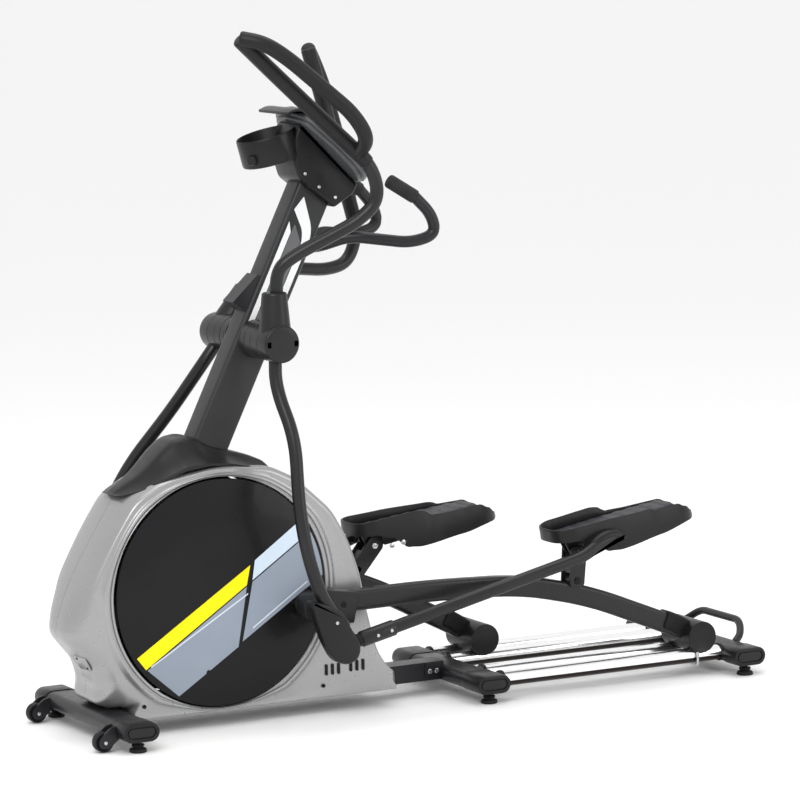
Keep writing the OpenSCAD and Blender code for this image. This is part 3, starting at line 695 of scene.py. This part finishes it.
def shroud_shell():
    """Half of the cover: side wall, rounded cheek, hollow, then ridges round the opening."""
    outline = even(soft(SHROUD, 10), 6)
    outline = [p for p, q in zip(outline, outline[1:] + outline[:1]) if (p - q).length > 0.4]
    centre = Vector((0, crank[1]))
    ridge = [(46, 108.5), (36, 109.2), (31, 110), (28, 112), (25.5, 115.2), (22.5, 117.2), (18.5, 118),
             (15.5, 117.4), (14.4, 114), (13.4, 112.4), (9.6, 112.4), (8.6, 114), (7.6, 117),
             (5, 118), (1.8, 117.4), (0.4, 115.8), (0, 113), (0, 98)]
    columns = []
    for p in outline:
        out = p - centre
        room = out.length - OPENING
        band = min(46, room * 0.62)
        front = rise(-p.x, 20, 290)
        low = rise(-p.y, -230, -110)
        start = 92 - 72 * front * (1 - 0.4 * low)
        reach = 16 + 104 * front * (1 - 0.4 * low)
        if p.y < 60:
            reach = 5
            start = 102
        reach = min(reach, room - band)
        column = [(0, 0.4), (0, start * 0.5), (0, start)]
        for k in range(1, 13):
            a = math.radians(7.5 * k)
            column.append((reach * (1 - math.cos(a)), start + (109 - start) * math.sin(a)))
        span = room - band - reach
        hollow = 9 * front * (1 - low) + 1.2
        for t in (0.2, 0.4, 0.6, 0.8):
            column.append((reach + span * t, 109 - hollow * math.sin(math.pi * t) * min(1, span / 20)))
        column += [(room - d * band / 46, y) for d, y in ridge]
        columns.append([centre + out.normalized() * (out.length - depth) for depth, _ in column])
        columns[-1] = [Vector((q.x, -y, q.y)) for q, (_, y) in zip(columns[-1], column)]
    return loft([list(ring) for ring in zip(*columns)], False, False)


# Painted shade: near-black plates stand in for the vent openings, painting the shade inside them.
slots = [plate([Vector((p.y + x + i * 17.5 + 3.5, p.x + z)) for p in stadium(29, 7)], -112, -108.2, 0.8)
         for i in range(3) for x, z in ((291, 116), (361, 119))]
shell = shroud_shell()
for side, mirror in (("left", False), ("right", True)):
    piece("cover_" + side, shell, SILVER, "frame", CRANK, mirror,
          ["shroud_" + side], crease=50)
    piece("vent_shade_plates_" + side, slots, DULL, "frame", CRANK, mirror)


def saddle_shape():
    """The charcoal cover: a ridge that narrows to the mast and drapes over both shoulders."""
    top = soft([(-250, 600, 4), (-236, 612, 10), (-172, 652, 24), (-118, 704, 20), (-84, 730, 16),
                (-36, 736, 20), (12, 708, 26), (66, 692, 24), (118, 677, 16), (152, 661, 12), (163, 640, 4)], 8)
    top = [p for p in top if p.x > -249]
    hem = [(-262, 604), (-236, 600), (-205, 606), (-170, 620), (-137, 636), (-79, 657), (-13, 665), (45, 662),
           (128, 642), (172, 634)]
    hem_y = [(-262, 16), (-246, 42), (-220, 66), (-190, 84), (-150, 97), (-110, 103), (128, 103), (172, 98)]
    ridge_y = [(-262, 12), (-230, 26), (-180, 38), (-120, 47), (-36, 46), (20, 42), (70, 50),
               (140, 72), (172, 84)]
    rings = []
    for p in sorted(top, key=lambda q: q.x):
        base, wide, flat = (value_at(line, p.x) for line in (hem, hem_y, ridge_y))
        high = max(p.y, base + 3)
        drop = high - base
        half = [(0, high), (flat * 0.55, high), (flat * 0.85, high - min(1.2, drop * 0.1)),
                (flat, high - min(4, drop * 0.2)),
                (flat + min(5, (wide - flat) * 0.2), high - min(10, drop * 0.35))]
        a, b = half[-1], (wide, base + min(5, drop * 0.3))
        middle = (a[0] + (b[0] - a[0]) * 0.42, a[1] + (b[1] - a[1]) * 0.66)
        for k in range(1, 9):
            t = k / 8
            half.append(tuple(a[i] * (1 - t) ** 2 + middle[i] * 2 * t * (1 - t) + b[i] * t * t for i in (0, 1)))
        half += [(wide + 0.8, base + min(2.5, drop * 0.15)), (wide, base), (wide - 4, base)]
        rings.append([Vector((p.x, -y, z)) for y, z in reversed(half)] +
                     [Vector((p.x, y, z)) for y, z in half[1:]])
    return loft(rings)


piece("top_saddle", saddle_shape(), CHARCOAL, "frame", CRANK, stands_for=["top_cover"],
      crease=50)

panel = plate_rings(soft([(-20, -26, 6), (20, -26, 6), (20, 26, 6), (-20, 26, 6)]), -2.5, 1, 1, 0.4, 3)
spot = Matrix.Translation((-346.5, -40, 192))
for degrees, turn_axis in ((8, "Z"), (-30, "Y"), (-90, "Z"), (90, "Y")):
    spot = spot @ Matrix.Rotation(math.radians(degrees), 4, turn_axis)
piece("access_plate", placed(panel, spot), SILVER, "frame", CRANK,
      stands_for=["access_panel"])
marks = [placed(cap_screw(3.6, -3.6, -1.6), spot @ Matrix.Translation((x, 0, z)))
         for x, z in ((-13, -14), (13, 14))]
piece("access_screws", marks, DULL, "frame", CRANK)
cover_screws = [moved(cap_screw(5, -113, -109.5), (x, 0, z)) for x, z in ((-214, 78), (285, 76))]
piece("cover_screws", both(*cover_screws), DULL, "frame", CRANK, stands_for=["screws"])

# ---------- mast and console ----------

mast_line = [(0, 0, -440), (0, 0, 424)]
piece("mast_tube", sweep(mast_line, rounded(50, 38, 13), (0, 1, 0), 0), MAST_PAINT, "frame",
      MAST, stands_for=["mast"])
finish_node("gusset", PAINT, 0.004)
collars = both(lathe([(12, -70.2), (46.5, -70), (48, -68.5), (48, -48), (47.2, -47.4), (47.2, -46), (48, -45.4),
                      (48.5, -43), (48.5, -38.2), (12, -38.2)]))
collars += both(lathe([(0.01, -76), (11, -76), (11, -37), (0.01, -37)]))
piece("pivot_collars", collars, HUB, "frame", frame_at(pivot), stands_for=["pivot_axle"])

# Slanted stripes on the mast's two sides, in place of any lettering.
white = [[(-36, 24, 2), (-21, 24, 2), (-21, 282, 2), (-36, 306, 2)],
         [(-36, 338, 2), (-24, 378, 2), (26, 318, 16), (36, 290, 12), (36, 50, 4), (18, 50, 4),
          (18, 272, 14), (6, 300, 12)]]
grey = [[(-19, 40, 4), (16, 40, 4), (16, 268, 12), (-19, 306, 6)]]
for name, outlines, paint, lift in (("white", white, DECAL, 0.5), ("grey", grey, DECAL_GREY, 0.35)):
    shapes = [s for outline in outlines for s in both(plate(soft(outline), -38 - lift, -37.9, 0.1, 1))]
    piece("mast_stripe_" + name, shapes, paint, "frame", MAST)

NECK = [(-104, -16.2, 4), (122, -16.2, 4), (130, -40, 10), (114, -104, 8), (-10, -118, 10), (-48, -98, 14),
        (-92, -50, 16)]
piece("neck_shell", plate(soft(NECK), -64, 64, 9), BLACK, "frame", CONSOLE,
      stands_for=["console_neck"])
neck_screws = [moved(cap_screw(4.5, -66, -63.6), (x, 0, z)) for x, z in ((96, -84), (44, -96), (-8, -98))]
piece("neck_screws", both(*neck_screws), STEEL, "frame", CONSOLE)

HOUSING = [(-118, -86, 30), (-130, 0, 10), (-118, 86, 30), (-40, 128, 40), (70, 128, 30), (122, 92, 30),
           (134, 0, 10), (122, -92, 30), (70, -128, 30), (-40, -128, 40)]


def upright(shape):
    """Turns a plate drawn in X and Z so that its thickness runs along +Z."""
    return [Vector((v.x, v.z, -v.y)) for v in shape[0]], shape[1]


housing = soft(HOUSING)
piece("console_rim", [upright(plate_rings(housing, -21.8, 6, 9, 4, 5)),
                      upright(plate_rings(inset(housing, 9), 4, 15.8, 2, 6, 4))],
      GREY, "frame", CONSOLE, stands_for=["console_housing"])
hood = plate(soft([(-106, 20, 3), (-124, 17, 14), (-148, -2, 16),
                   (-158, -27, 4), (-151, -30, 3), (-140, -8, 14),
                   (-120, 6, 10), (-106, 8, 3)]), -84, 84, 3)
piece("console_hood", hood, CHARCOAL, "frame", CONSOLE)
face = upright(plate_rings(inset(housing, 12), -22.4, -20, 0.8, 0.8, 2))
piece("console_face", face, BLACK, "frame", CONSOLE)
window = upright(plate_rings(soft([(-92, -82, 10), (34, -82, 10), (34, 82, 10), (-92, 82, 10)]),
                             -23.4, -22, 0.6, 0.2, 2))
piece("display_window", window, GLASS, "frame", CONSOLE, stands_for=["console_display"])


def mark(x0, x1, y0, y1):
    """A thin lit bar on the display."""
    return upright(plate([Vector(p) for p in ((x0, y0), (x1, y0), (x1, y1), (x0, y1))], -23.8, -23.3, 0.1, 1))


bars = []
for i in range(8):
    tall = 14 + 9 * ((i * 5) % 4)
    bars.append(mark(20 - tall, 20, -60 + i * 9, -54 + i * 9))
for row in range(3):
    x = -80 + row * 24
    bars.append(mark(x, x + 3, 28, 70))
    bars.append(mark(x + 8, x + 14, 28, 44 + row * 8))
piece("display_marks", bars, GLOW, "frame", CONSOLE)
for name, y, paint, slot in (("up", -50, BLUE, "button_blue"), ("start", 0, RED, "button_red"),
                             ("down", 50, BLUE, "button_blue")):
    key = lathe([(13.6, -12), (13.6, -22.6), (12.8, -23.8), (10.5, -24.4), (6, -24.2), (0.01, -23.9)], 48)
    piece("key_" + name, moved(upright(key), (76, y, 0)), paint, "button_" + name, CONSOLE,
          stands_for=["button_" + name])


def cup():
    """The open-topped bottle holder, leaning forward, whose back merges with the neck."""
    rings = []
    for r, z in ((0.02, -36), (71, -36), (74.5, -34.5), (76, -31), (76, 32), (75, 35), (74, 36),
                 (72.5, 34), (72.5, -28), (70, -32), (0.02, -32)):
        ring = []
        for a in (2 * math.pi * k / 120 for k in range(120)):
            ring.append(Vector((min(r * math.cos(a), 62 + 0.3 * z), r * math.sin(a), z)))
        rings.append(ring)
    return loft(rings)


CUP = CRANK @ Matrix.Translation((218, 0, 1443)) @ Matrix.Rotation(math.radians(-CUP_LEAN), 4, "Y")
piece("bottle_cup", cup(), BLACK, "frame", CUP, stands_for=["bottle_holder"])
knob = plate_rings(soft([(-13, -11, 8), (13, -11, 8), (13, 13, 8), (-13, 13, 8)]), -88, -70, 5, 2, 5)
turn = Matrix.Translation((0, 0, -12)) @ Matrix.Rotation(math.radians(-62), 4, "Z")
piece("cup_knob", placed(knob, turn), BLACK, "frame", CUP)

HALF_BAR = [(-10, 34, -4), (60, 84, 24), (200, 150, 4), (268, 158, 22), (256, 158, 74), (213, 152, 119)]
bar = bend([(x, -y, z) for x, y, z in reversed(HALF_BAR)] + HALF_BAR, 34)
FIXED = frame_at((crank[0] + 338, 1190))
piece("fixed_bar", tube(bar, 15, (0.13, 0.2, 1), 0), PAINT, "frame", FIXED,
      stands_for=["fixed_handlebar"])


def grip_shape():
    """A foam sleeve along the last straight run of the fixed handle, closed by a rounded end."""
    start, stop = Vector((212.8, -152, 119.2)), Vector((141, -144, 165))
    along = (stop - start).normalized()
    length = (stop - start).length
    steps = [(0, 15.5), (0.6, 17.4), (3, 18), (length - 6, 18),
             (length - 2, 16), (length - 0.3, 12), (length, 7)]
    up = along.cross(Vector((0, 1, 0))).normalized()
    across = up.cross(along)
    return loft([[start + along * d + up * p.x + across * p.y for p in circle(r, 36)] for d, r in steps])


piece("foam_grips", both(grip_shape()), FOAM, "frame", FIXED, stands_for=["pulse_grips"])

# ---------- crank discs ----------

DISC = [(240, -114), (285, -114), (287, -116), (287, -121.5), (286.2, -123.2), (284.5, -124),
        (150, -124), (60, -124), (0.01, -124)]
SCREW_R = 203

for side, mirror in (("left", False), ("right", True)):
    where = AXLE if side == "left" else AXLE @ Matrix.Rotation(math.pi, 4, "Y")
    piece("disc_face_" + side, lathe(DISC, 180), disc_surface("disc_" + side, mirror), "crank",
          where, mirror, ["disc_" + side])
    heads = []
    for angle in (12, 102, 192, 282):
        a = math.radians(-angle)
        heads.append(moved(lathe([(6.4, -124.3), (5.6, -124.8), (4.6, -124.2), (2.4, -122.6), (2.4, -121)], 32),
                           (SCREW_R * math.cos(a), 0, SCREW_R * math.sin(a))))
    a = math.radians(-CRANK_ANGLE)
    heads.append(moved(lathe([(34, -123.8), (31, -126), (30, -129.4), (28, -130), (14, -130), (14, -131.4),
                              (0.01, -131.4)], 64), (CRANK_R * math.cos(a), 0, CRANK_R * math.sin(a))))
    piece("disc_bolts_" + side, heads, DULL, "crank", where, mirror)

# ---------- one side: rollers, arm, rocker, pedal, link, handlebar ----------

ARM_LINE = [(36, 6), (130, 24), (330, 60), (590, 94), (800, 80), (1096, 14)]
ARM_Y, ROLLER_Y, LINK_Y, PEDAL_Y, HUB_Y = -156, (-192, -96), -239, -145, -152
# The pedal's outline from above.
PLAN = [(-80, -44, 34), (-50, -70, 24), (150, -70, 40), (330, -48, 40), (364, 0, 22), (330, 48, 40),
        (150, 70, 40), (-50, 70, 24), (-80, 44, 34)]
# Heights along the pedal: deck, the two rims, which share a tail, and the underside.
WALL, DECK_MID, RIB_STEP = 6, 140, 38
DECK = [(-80, 44), (120, 47), (282, 50), (306, 42), (346, 16), (364, 4)]
TAIL = [(292, 53), (318, 40), (346, 20), (364, 7)]
OUTER_RIM = [(-80, 72), (40, 70), (192, 64), (204, 62), (224, 54)] + TAIL
INNER_RIM = [(-80, 72), (-30, 75), (92, 77), (112, 74), (142, 57), (200, 54)] + TAIL
UNDER = [(-80, 38), (-34, 36), (14, 20), (62, -14), (100, -19), (230, -12), (330, -1), (364, 4)]


def deck_at(x):
    return value_at(DECK, x, True)


def pedal_tray():
    """The open tray: underside, wall, rounded rim and deck, as rings round one outline."""
    outer = even(soft(PLAN, 8), 7)
    rings = [[] for _ in range(9)]
    for p, q in zip(outer, inset(outer, WALL)):
        share = min(1, abs(p.y) / 30)
        top = (value_at(INNER_RIM if p.y > 0 else OUTER_RIM, p.x, True) * share
               + value_at(OUTER_RIM, p.x, True) * (1 - share))
        low = value_at(UNDER, p.x, True)
        tail = max(0, (p.x - 300) / 64)
        spots = ((1, low + 1), (0, low), (0, low + 4), (0.3 * tail, top - 3), (0.12, top - 0.9), (0.42, top),
                 (0.8, top - 0.9), (1, top - 3), (1, min(deck_at(p.x), top - 3.2)))
        for ring, (depth, z) in zip(rings, spots):
            ring.append(Vector((*p.lerp(q, depth), z)))
    for depth in (0.25, 0.5, 0.75, 0.97):
        drawn = [(v.x + (DECK_MID - v.x) * depth * 0.9, v.y * (1 - depth)) for v in rings[8]]
        rings.append([Vector((x, y, deck_at(x))) for x, y in drawn])
    # The hollow underside follows the wall up to just below the deck.
    roof = [Vector((v.x, v.y, max(v.z, min(36, deck_at(v.x) - 6)))) for v in rings[0]]
    ceiling = [[Vector((v.x + (DECK_MID - v.x) * depth * 0.9, v.y * (1 - depth), 34)) for v in roof]
               for depth in (0.97, 0.5)]
    return loft(ceiling + [roof] + rings)


def pedal_mat_shape():
    """The rubber tread: a plate with cross ribs whose edge follows the tray."""
    outline = [Vector((min(p.x, 290), p.y)) for p in even(inset(soft(PLAN, 8), 15), 3)]

    def ribbed(x):
        wave = 0.5 + 0.5 * math.cos(2 * math.pi * (x - 8) / RIB_STEP)
        rib = min(1, max(0, (wave - 0.35) * 4)) if x < 280 else 0
        return deck_at(x) + 2.6 + 1.8 * rib

    rings = [[Vector((p.x, p.y, deck_at(p.x) - 1)) for p in outline]]
    for depth, lift in ((0, 1), (0.02, 2)):
        rings.append([Vector((p.x, p.y * (1 - depth), deck_at(p.x) + lift)) for p in outline])
    for depth in (0.1, 0.3, 0.5, 0.7, 0.9, 0.999):
        rings.append([Vector((p.x, p.y * (1 - depth), ribbed(p.x))) for p in outline])
    return loft(rings, True, False)


def fairing():
    """The arched housing on the pedal's outer side, over the end of the link."""
    arch = even(soft([(-22, -2, 12), (8, 34, 26), (56, 50, 30), (104, 38, 26),
                      (118, 10, 10), (60, 2, 20)], 8), 4)
    return plate_rings(arch, -250, -213, 15, 2, 7)


# The handlebar's tubes, and the cover at its lower joint as (x, z, easing).
LOWER = [(0, -150, -30), (-4, -156, -110), (14, -222, -235), (4, -258, -400), (14, -272, -510),
         (54, -275, -640), (116, -275, -712)]
UPPER = [(6, -151, 90), (5, -156, 182), (50, -172, 218), (205, -221, 298), (256, -236, 350),
         (236, -240, 432), (99, -245, 553), (-49, -252, 686), (-134, -262, 762)]
LOOP = [(196, -240, 466), (196, -300, 505), (150, -310, 570), (-22, -304, 712), (-84, -300, 752),
        (-134, -266, 764)]
SHOE = [(14, -633, 10), (70, -648, 12), (110, -676, 12), (124, -712, 22), (153, -752, 26),
        (147, -794, 24), (110, -807, 24), (74, -790, 22), (46, -736, 24), (24, -668, 14)]


def add_side(end):
    """All the moving pieces of the left side (end 0) or the right side (end 1)."""
    side = SIDES[end]
    mirror = end == 1

    def add(name, shapes, paint, group, where, nodes=(), crease=38):
        body = "%s_%s" % (side, group)
        piece("%s_%s" % (name, side), shapes, paint, body, where, mirror,
              ["%s_%s" % (n, side) for n in nodes], crease)

    # rollers on their axle
    arm = arm_frame(end)
    axle = arm @ Matrix.Translation((ARM_LEN, 0, 0))
    wheels = [moved(lathe([(8.1, -14), (14, -14), (15, -11), (23, -11), (24.5, -14), (27.4, -15), (28.5, -13.6),
                           (28.7, -11), (28.7, 11), (28.5, 13.6), (27.4, 15), (24.5, 14), (23, 11), (15, 11),
                           (14, 14), (8.1, 14)], 64), (0, y, 0)) for y in ROLLER_Y]
    add("roller_wheels", wheels, RUBBER, "rollers", axle, ["rollers"])
    finish_node("carriage_" + side, STEEL, 0.0008)

    # arm, front bracket and roller cover
    line = bend([(x, ARM_Y, z) for x, z in ARM_LINE], 90, 14)
    add("arm_tube", sweep(line, rounded(27, 19.5, 12), (0, 1, 0), 0), ARM, "arm", arm, ["arm"])
    lug = [moved(lathe([(6.5, -18), (12.5, -18), (14, -16.5), (14, 16.5), (12.5, 18), (6.5, 18)], 48),
                 (748, ARM_Y, 118)),
           plate(soft([(734, 94, 2), (762, 90, 2), (760, 118, 6), (736, 118, 6)]),
                 ARM_Y - 17.5, ARM_Y + 17.5, 1.5)]
    add("arm_lug", lug, ARM, "arm", arm)
    front = plate(soft([(-30, -34, 14), (112, -36, 6), (116, 44, 5), (20, 42, 16),
                        (-34, 22, 16)]), -180, -132, 2.5)
    add("front_bracket", front, HUB, "arm", arm, ["arm_bracket"])
    add("bracket_bolts", [moved(cap_screw(8, -181.4, -179.4), (75, 0, 10)),
                          moved(cap_screw(6, -181.4, -179.4), (-14, 0, 8)),
                          moved(cap_screw(6, -181.4, -179.4), (-6, 0, -16)),
                          lathe([(9, -132.6), (9, -131.6), (5, -131.2), (0.01, -131.2)], 32)],
        DULL, "arm", arm)
    can = lathe([(0.01, -215.2), (36, -215.2), (37.6, -216), (40.6, -216),
                 (41.8, -214.8), (42, -212), (42, -76),
                 (41.4, -73), (39, -72.2), (0.01, -72.2)], 96)
    saddle = sweep(bend([(-96, ARM_Y, 36), (-60, ARM_Y, 27), (-20, ARM_Y, 12)], 20), rounded(24, 27, 10),
                   (0, 1, 0), 6)
    add("roller_can", trim_low(can, end), BLACK, "arm", axle, ["roller_cover"], crease=45)
    add("roller_saddle", saddle, DULL, "arm", axle)
    peg = Matrix.Translation((-17, 0, 0)) @ Matrix.Rotation(math.radians(-9.74), 4, "Y")
    pegs = [tube([(0, -217.2, -40), (0, -217.2, -74)], 3.6, (0, 1, 0), 1, 20),
            tube([(0, -219.4, -72), (0, -207.5, -72)], 2.9, (1, 0, 0), 1, 20)]
    add("roller_peg", [placed(s, peg) for s in pegs], STEEL, "arm", axle)

    # rocker post
    rocker = rocker_frame(end)
    ear = soft([(-21, -16, 12), (22, -16, 12), (24, ROCKER_LEN + 15, 12), (-24, ROCKER_LEN + 15, 12)])
    posts = [plate(ear, -181, -176, 1), plate(ear, -136, -131, 1),
             plate(soft([(-17, 18, 2), (-12, 18, 2), (-12, 47, 2), (-17, 47, 2)]), -177, -135, 0.5)]
    add("rocker_post", posts, ARM, "rocker", rocker, ["rocker"])
    head = hex_bolt(10, -184, -181)
    pin = [head, moved(head, (0, -315, 0), scale=(1, -1, 1)), lathe([(6, -181), (6, -131)], 32)]
    add("rocker_pin", pin, DULL, "rocker", rocker)

    # pedal with its tread and the link
    tray = link_frame(end, PEDAL_DROP) @ Matrix.Translation((0, PEDAL_Y, 0))
    plate_frame = tray @ Matrix.Translation((12, 0, 2)) @ Matrix.Rotation(math.radians(PEDAL_TILT), 4, "Y")
    add("pedal_tray", pedal_tray(), PEDAL, "pedal", plate_frame, ["pedal"], crease=50)
    add("pedal_tread", pedal_mat_shape(), MAT, "pedal", plate_frame, ["pedal_mat"], crease=60)
    ears = [plate(soft([(-16, -16, 10), (26, -16, 4), (44, 37, 2), (-30, 37, 2)]),
                  y, y + 5, 1) for y in (-27, 0)]
    ears.append(plate(soft([(30, -8, 6), (150, -8, 6), (176, 20, 4), (176, 36, 2), (24, 36, 2)]), 3, 8, 1))
    add("pedal_ears", ears, ARM, "pedal", tray)
    heads = [moved(hex_bolt(9, -39.2, -36.2)), moved(hex_bolt(9, -17.2, -14.2), scale=(1, -1, 1)),
             lathe([(6, -36.4), (6, 14.4)], 32)]
    heads += [moved(lathe([(7, 70.2), (7, 72), (4, 73), (0.01, 73)], 24), (x, 0, 2)) for x in (22, 56)]
    add("pedal_bolts", heads, STEEL, "pedal", tray)
    link = link_frame(end, LINK_DROP)
    line = bend([(120 - LINK_LEN, LINK_Y, 0), (-20, LINK_Y, 3), (30, LINK_Y + 3, 20), (92, LINK_Y + 6, 26)], 40)
    add("link_tube", tube(line, 16.5, (0, 1, 0), 1), ARM, "pedal", link, ["link"])
    sleeve = tube([(44 - LINK_LEN, LINK_Y, 0), (140 - LINK_LEN, LINK_Y, 0)], 20.5, (0, 1, 0), 2.5)
    eye = lathe([(9, -256), (22, -256), (24, -254), (24, -228), (22, -226), (9, -226)], 56)
    add("link_sleeve", [sleeve, moved(eye, (-LINK_LEN, 0, 0))], ARM, "pedal", link)
    boot = loft([[Vector((x - LINK_LEN, p.x + LINK_Y, p.y)) for p in circle(r, 36)] for x, r in
                 ((18, 13), (24, 17), (29, 15), (34, 17.6), (39, 15.6), (44, 18.5), (50, 18))])
    add("link_boot", boot, RUBBER, "pedal", link)
    add("link_bolts", [moved(cap_screw(4.6, -261, -258), (x - LINK_LEN, 0, 0)) for x in (84, 124)],
        STEEL, "pedal", link)
    add("link_fairing", fairing(), PEDAL, "pedal", link, crease=50)

    # swinging handlebar
    swing = bar_frame(end)
    hub = lathe([(13, -71.5), (46.5, -71.5), (48, -73),
                 (48, -103.4), (47.2, -104), (47.2, -105.6), (48, -106.2),
                 (48, -143.6), (47.2, -144.2), (47.2, -145.8), (48, -146.4),
                 (48, -187), (47.2, -190.5), (45, -193),
                 (40, -194.5), (30, -195), (0.01, -195)], 96)
    cone = loft([[Vector((p.x, p.y + HUB_Y, z)) for p in circle(r, 56)] for r, z in
                 ((41, 20), (40, 30), (31.9, 120), (31, 124), (29, 126), (17, 126))])
    add("hub_shell", [hub, cone], HUB, "handlebar", swing, ["hub"])
    slots = [moved(plate(stadium(6, 14), -195.6, -193.4, 0.4), (x, 0, 0)) for x in (-37, 37)]
    add("hub_slots", slots, DULL, "handlebar", swing)
    add("lower_tube", tube(bend(LOWER, 60, 12), 16.5, (0, 1, 0), 1), ARM, "handlebar", swing,
        ["lower_bar"])
    whole = bend(UPPER, 46, 12)
    add("upper_tube", tube(whole[:-24], 17, (0, 1, 0), 1), ARM, "handlebar", swing, ["upper_bar"])
    held = [p for p in whole if p.z > 436]
    add("upper_grip", [tube(held, 19.6, (0, 1, 0), 6), tube(bend(LOOP, 40, 12), 19, (0, 1, 0), 6)], GRIP,
        "handlebar", swing)
    add("shoe_shell", plate(even(soft(SHOE), 4), -296, -258, 9), PEDAL, "handlebar", swing,
        ["shoe"], crease=50)
    add("shoe_screw", moved(cap_screw(5, -297.4, -294), (84, 0, -695)), STEEL, "handlebar", swing)


def trim_low(shape, end):
    """Flattens the underside of the roller cover between its end walls, clear of the rails."""
    tilt = math.radians(-(9.740 if end == 0 else 14.951))
    back = Matrix.Rotation(tilt, 4, "Y")
    forth = back.inverted()
    verts = []
    for v in shape[0]:
        w = forth @ v
        if w.z < -22 and -212 < w.y < -76:
            w.z = -22
        verts.append(back @ w)
    return verts, shape[1]


for end in (0, 1):
    add_side(end)
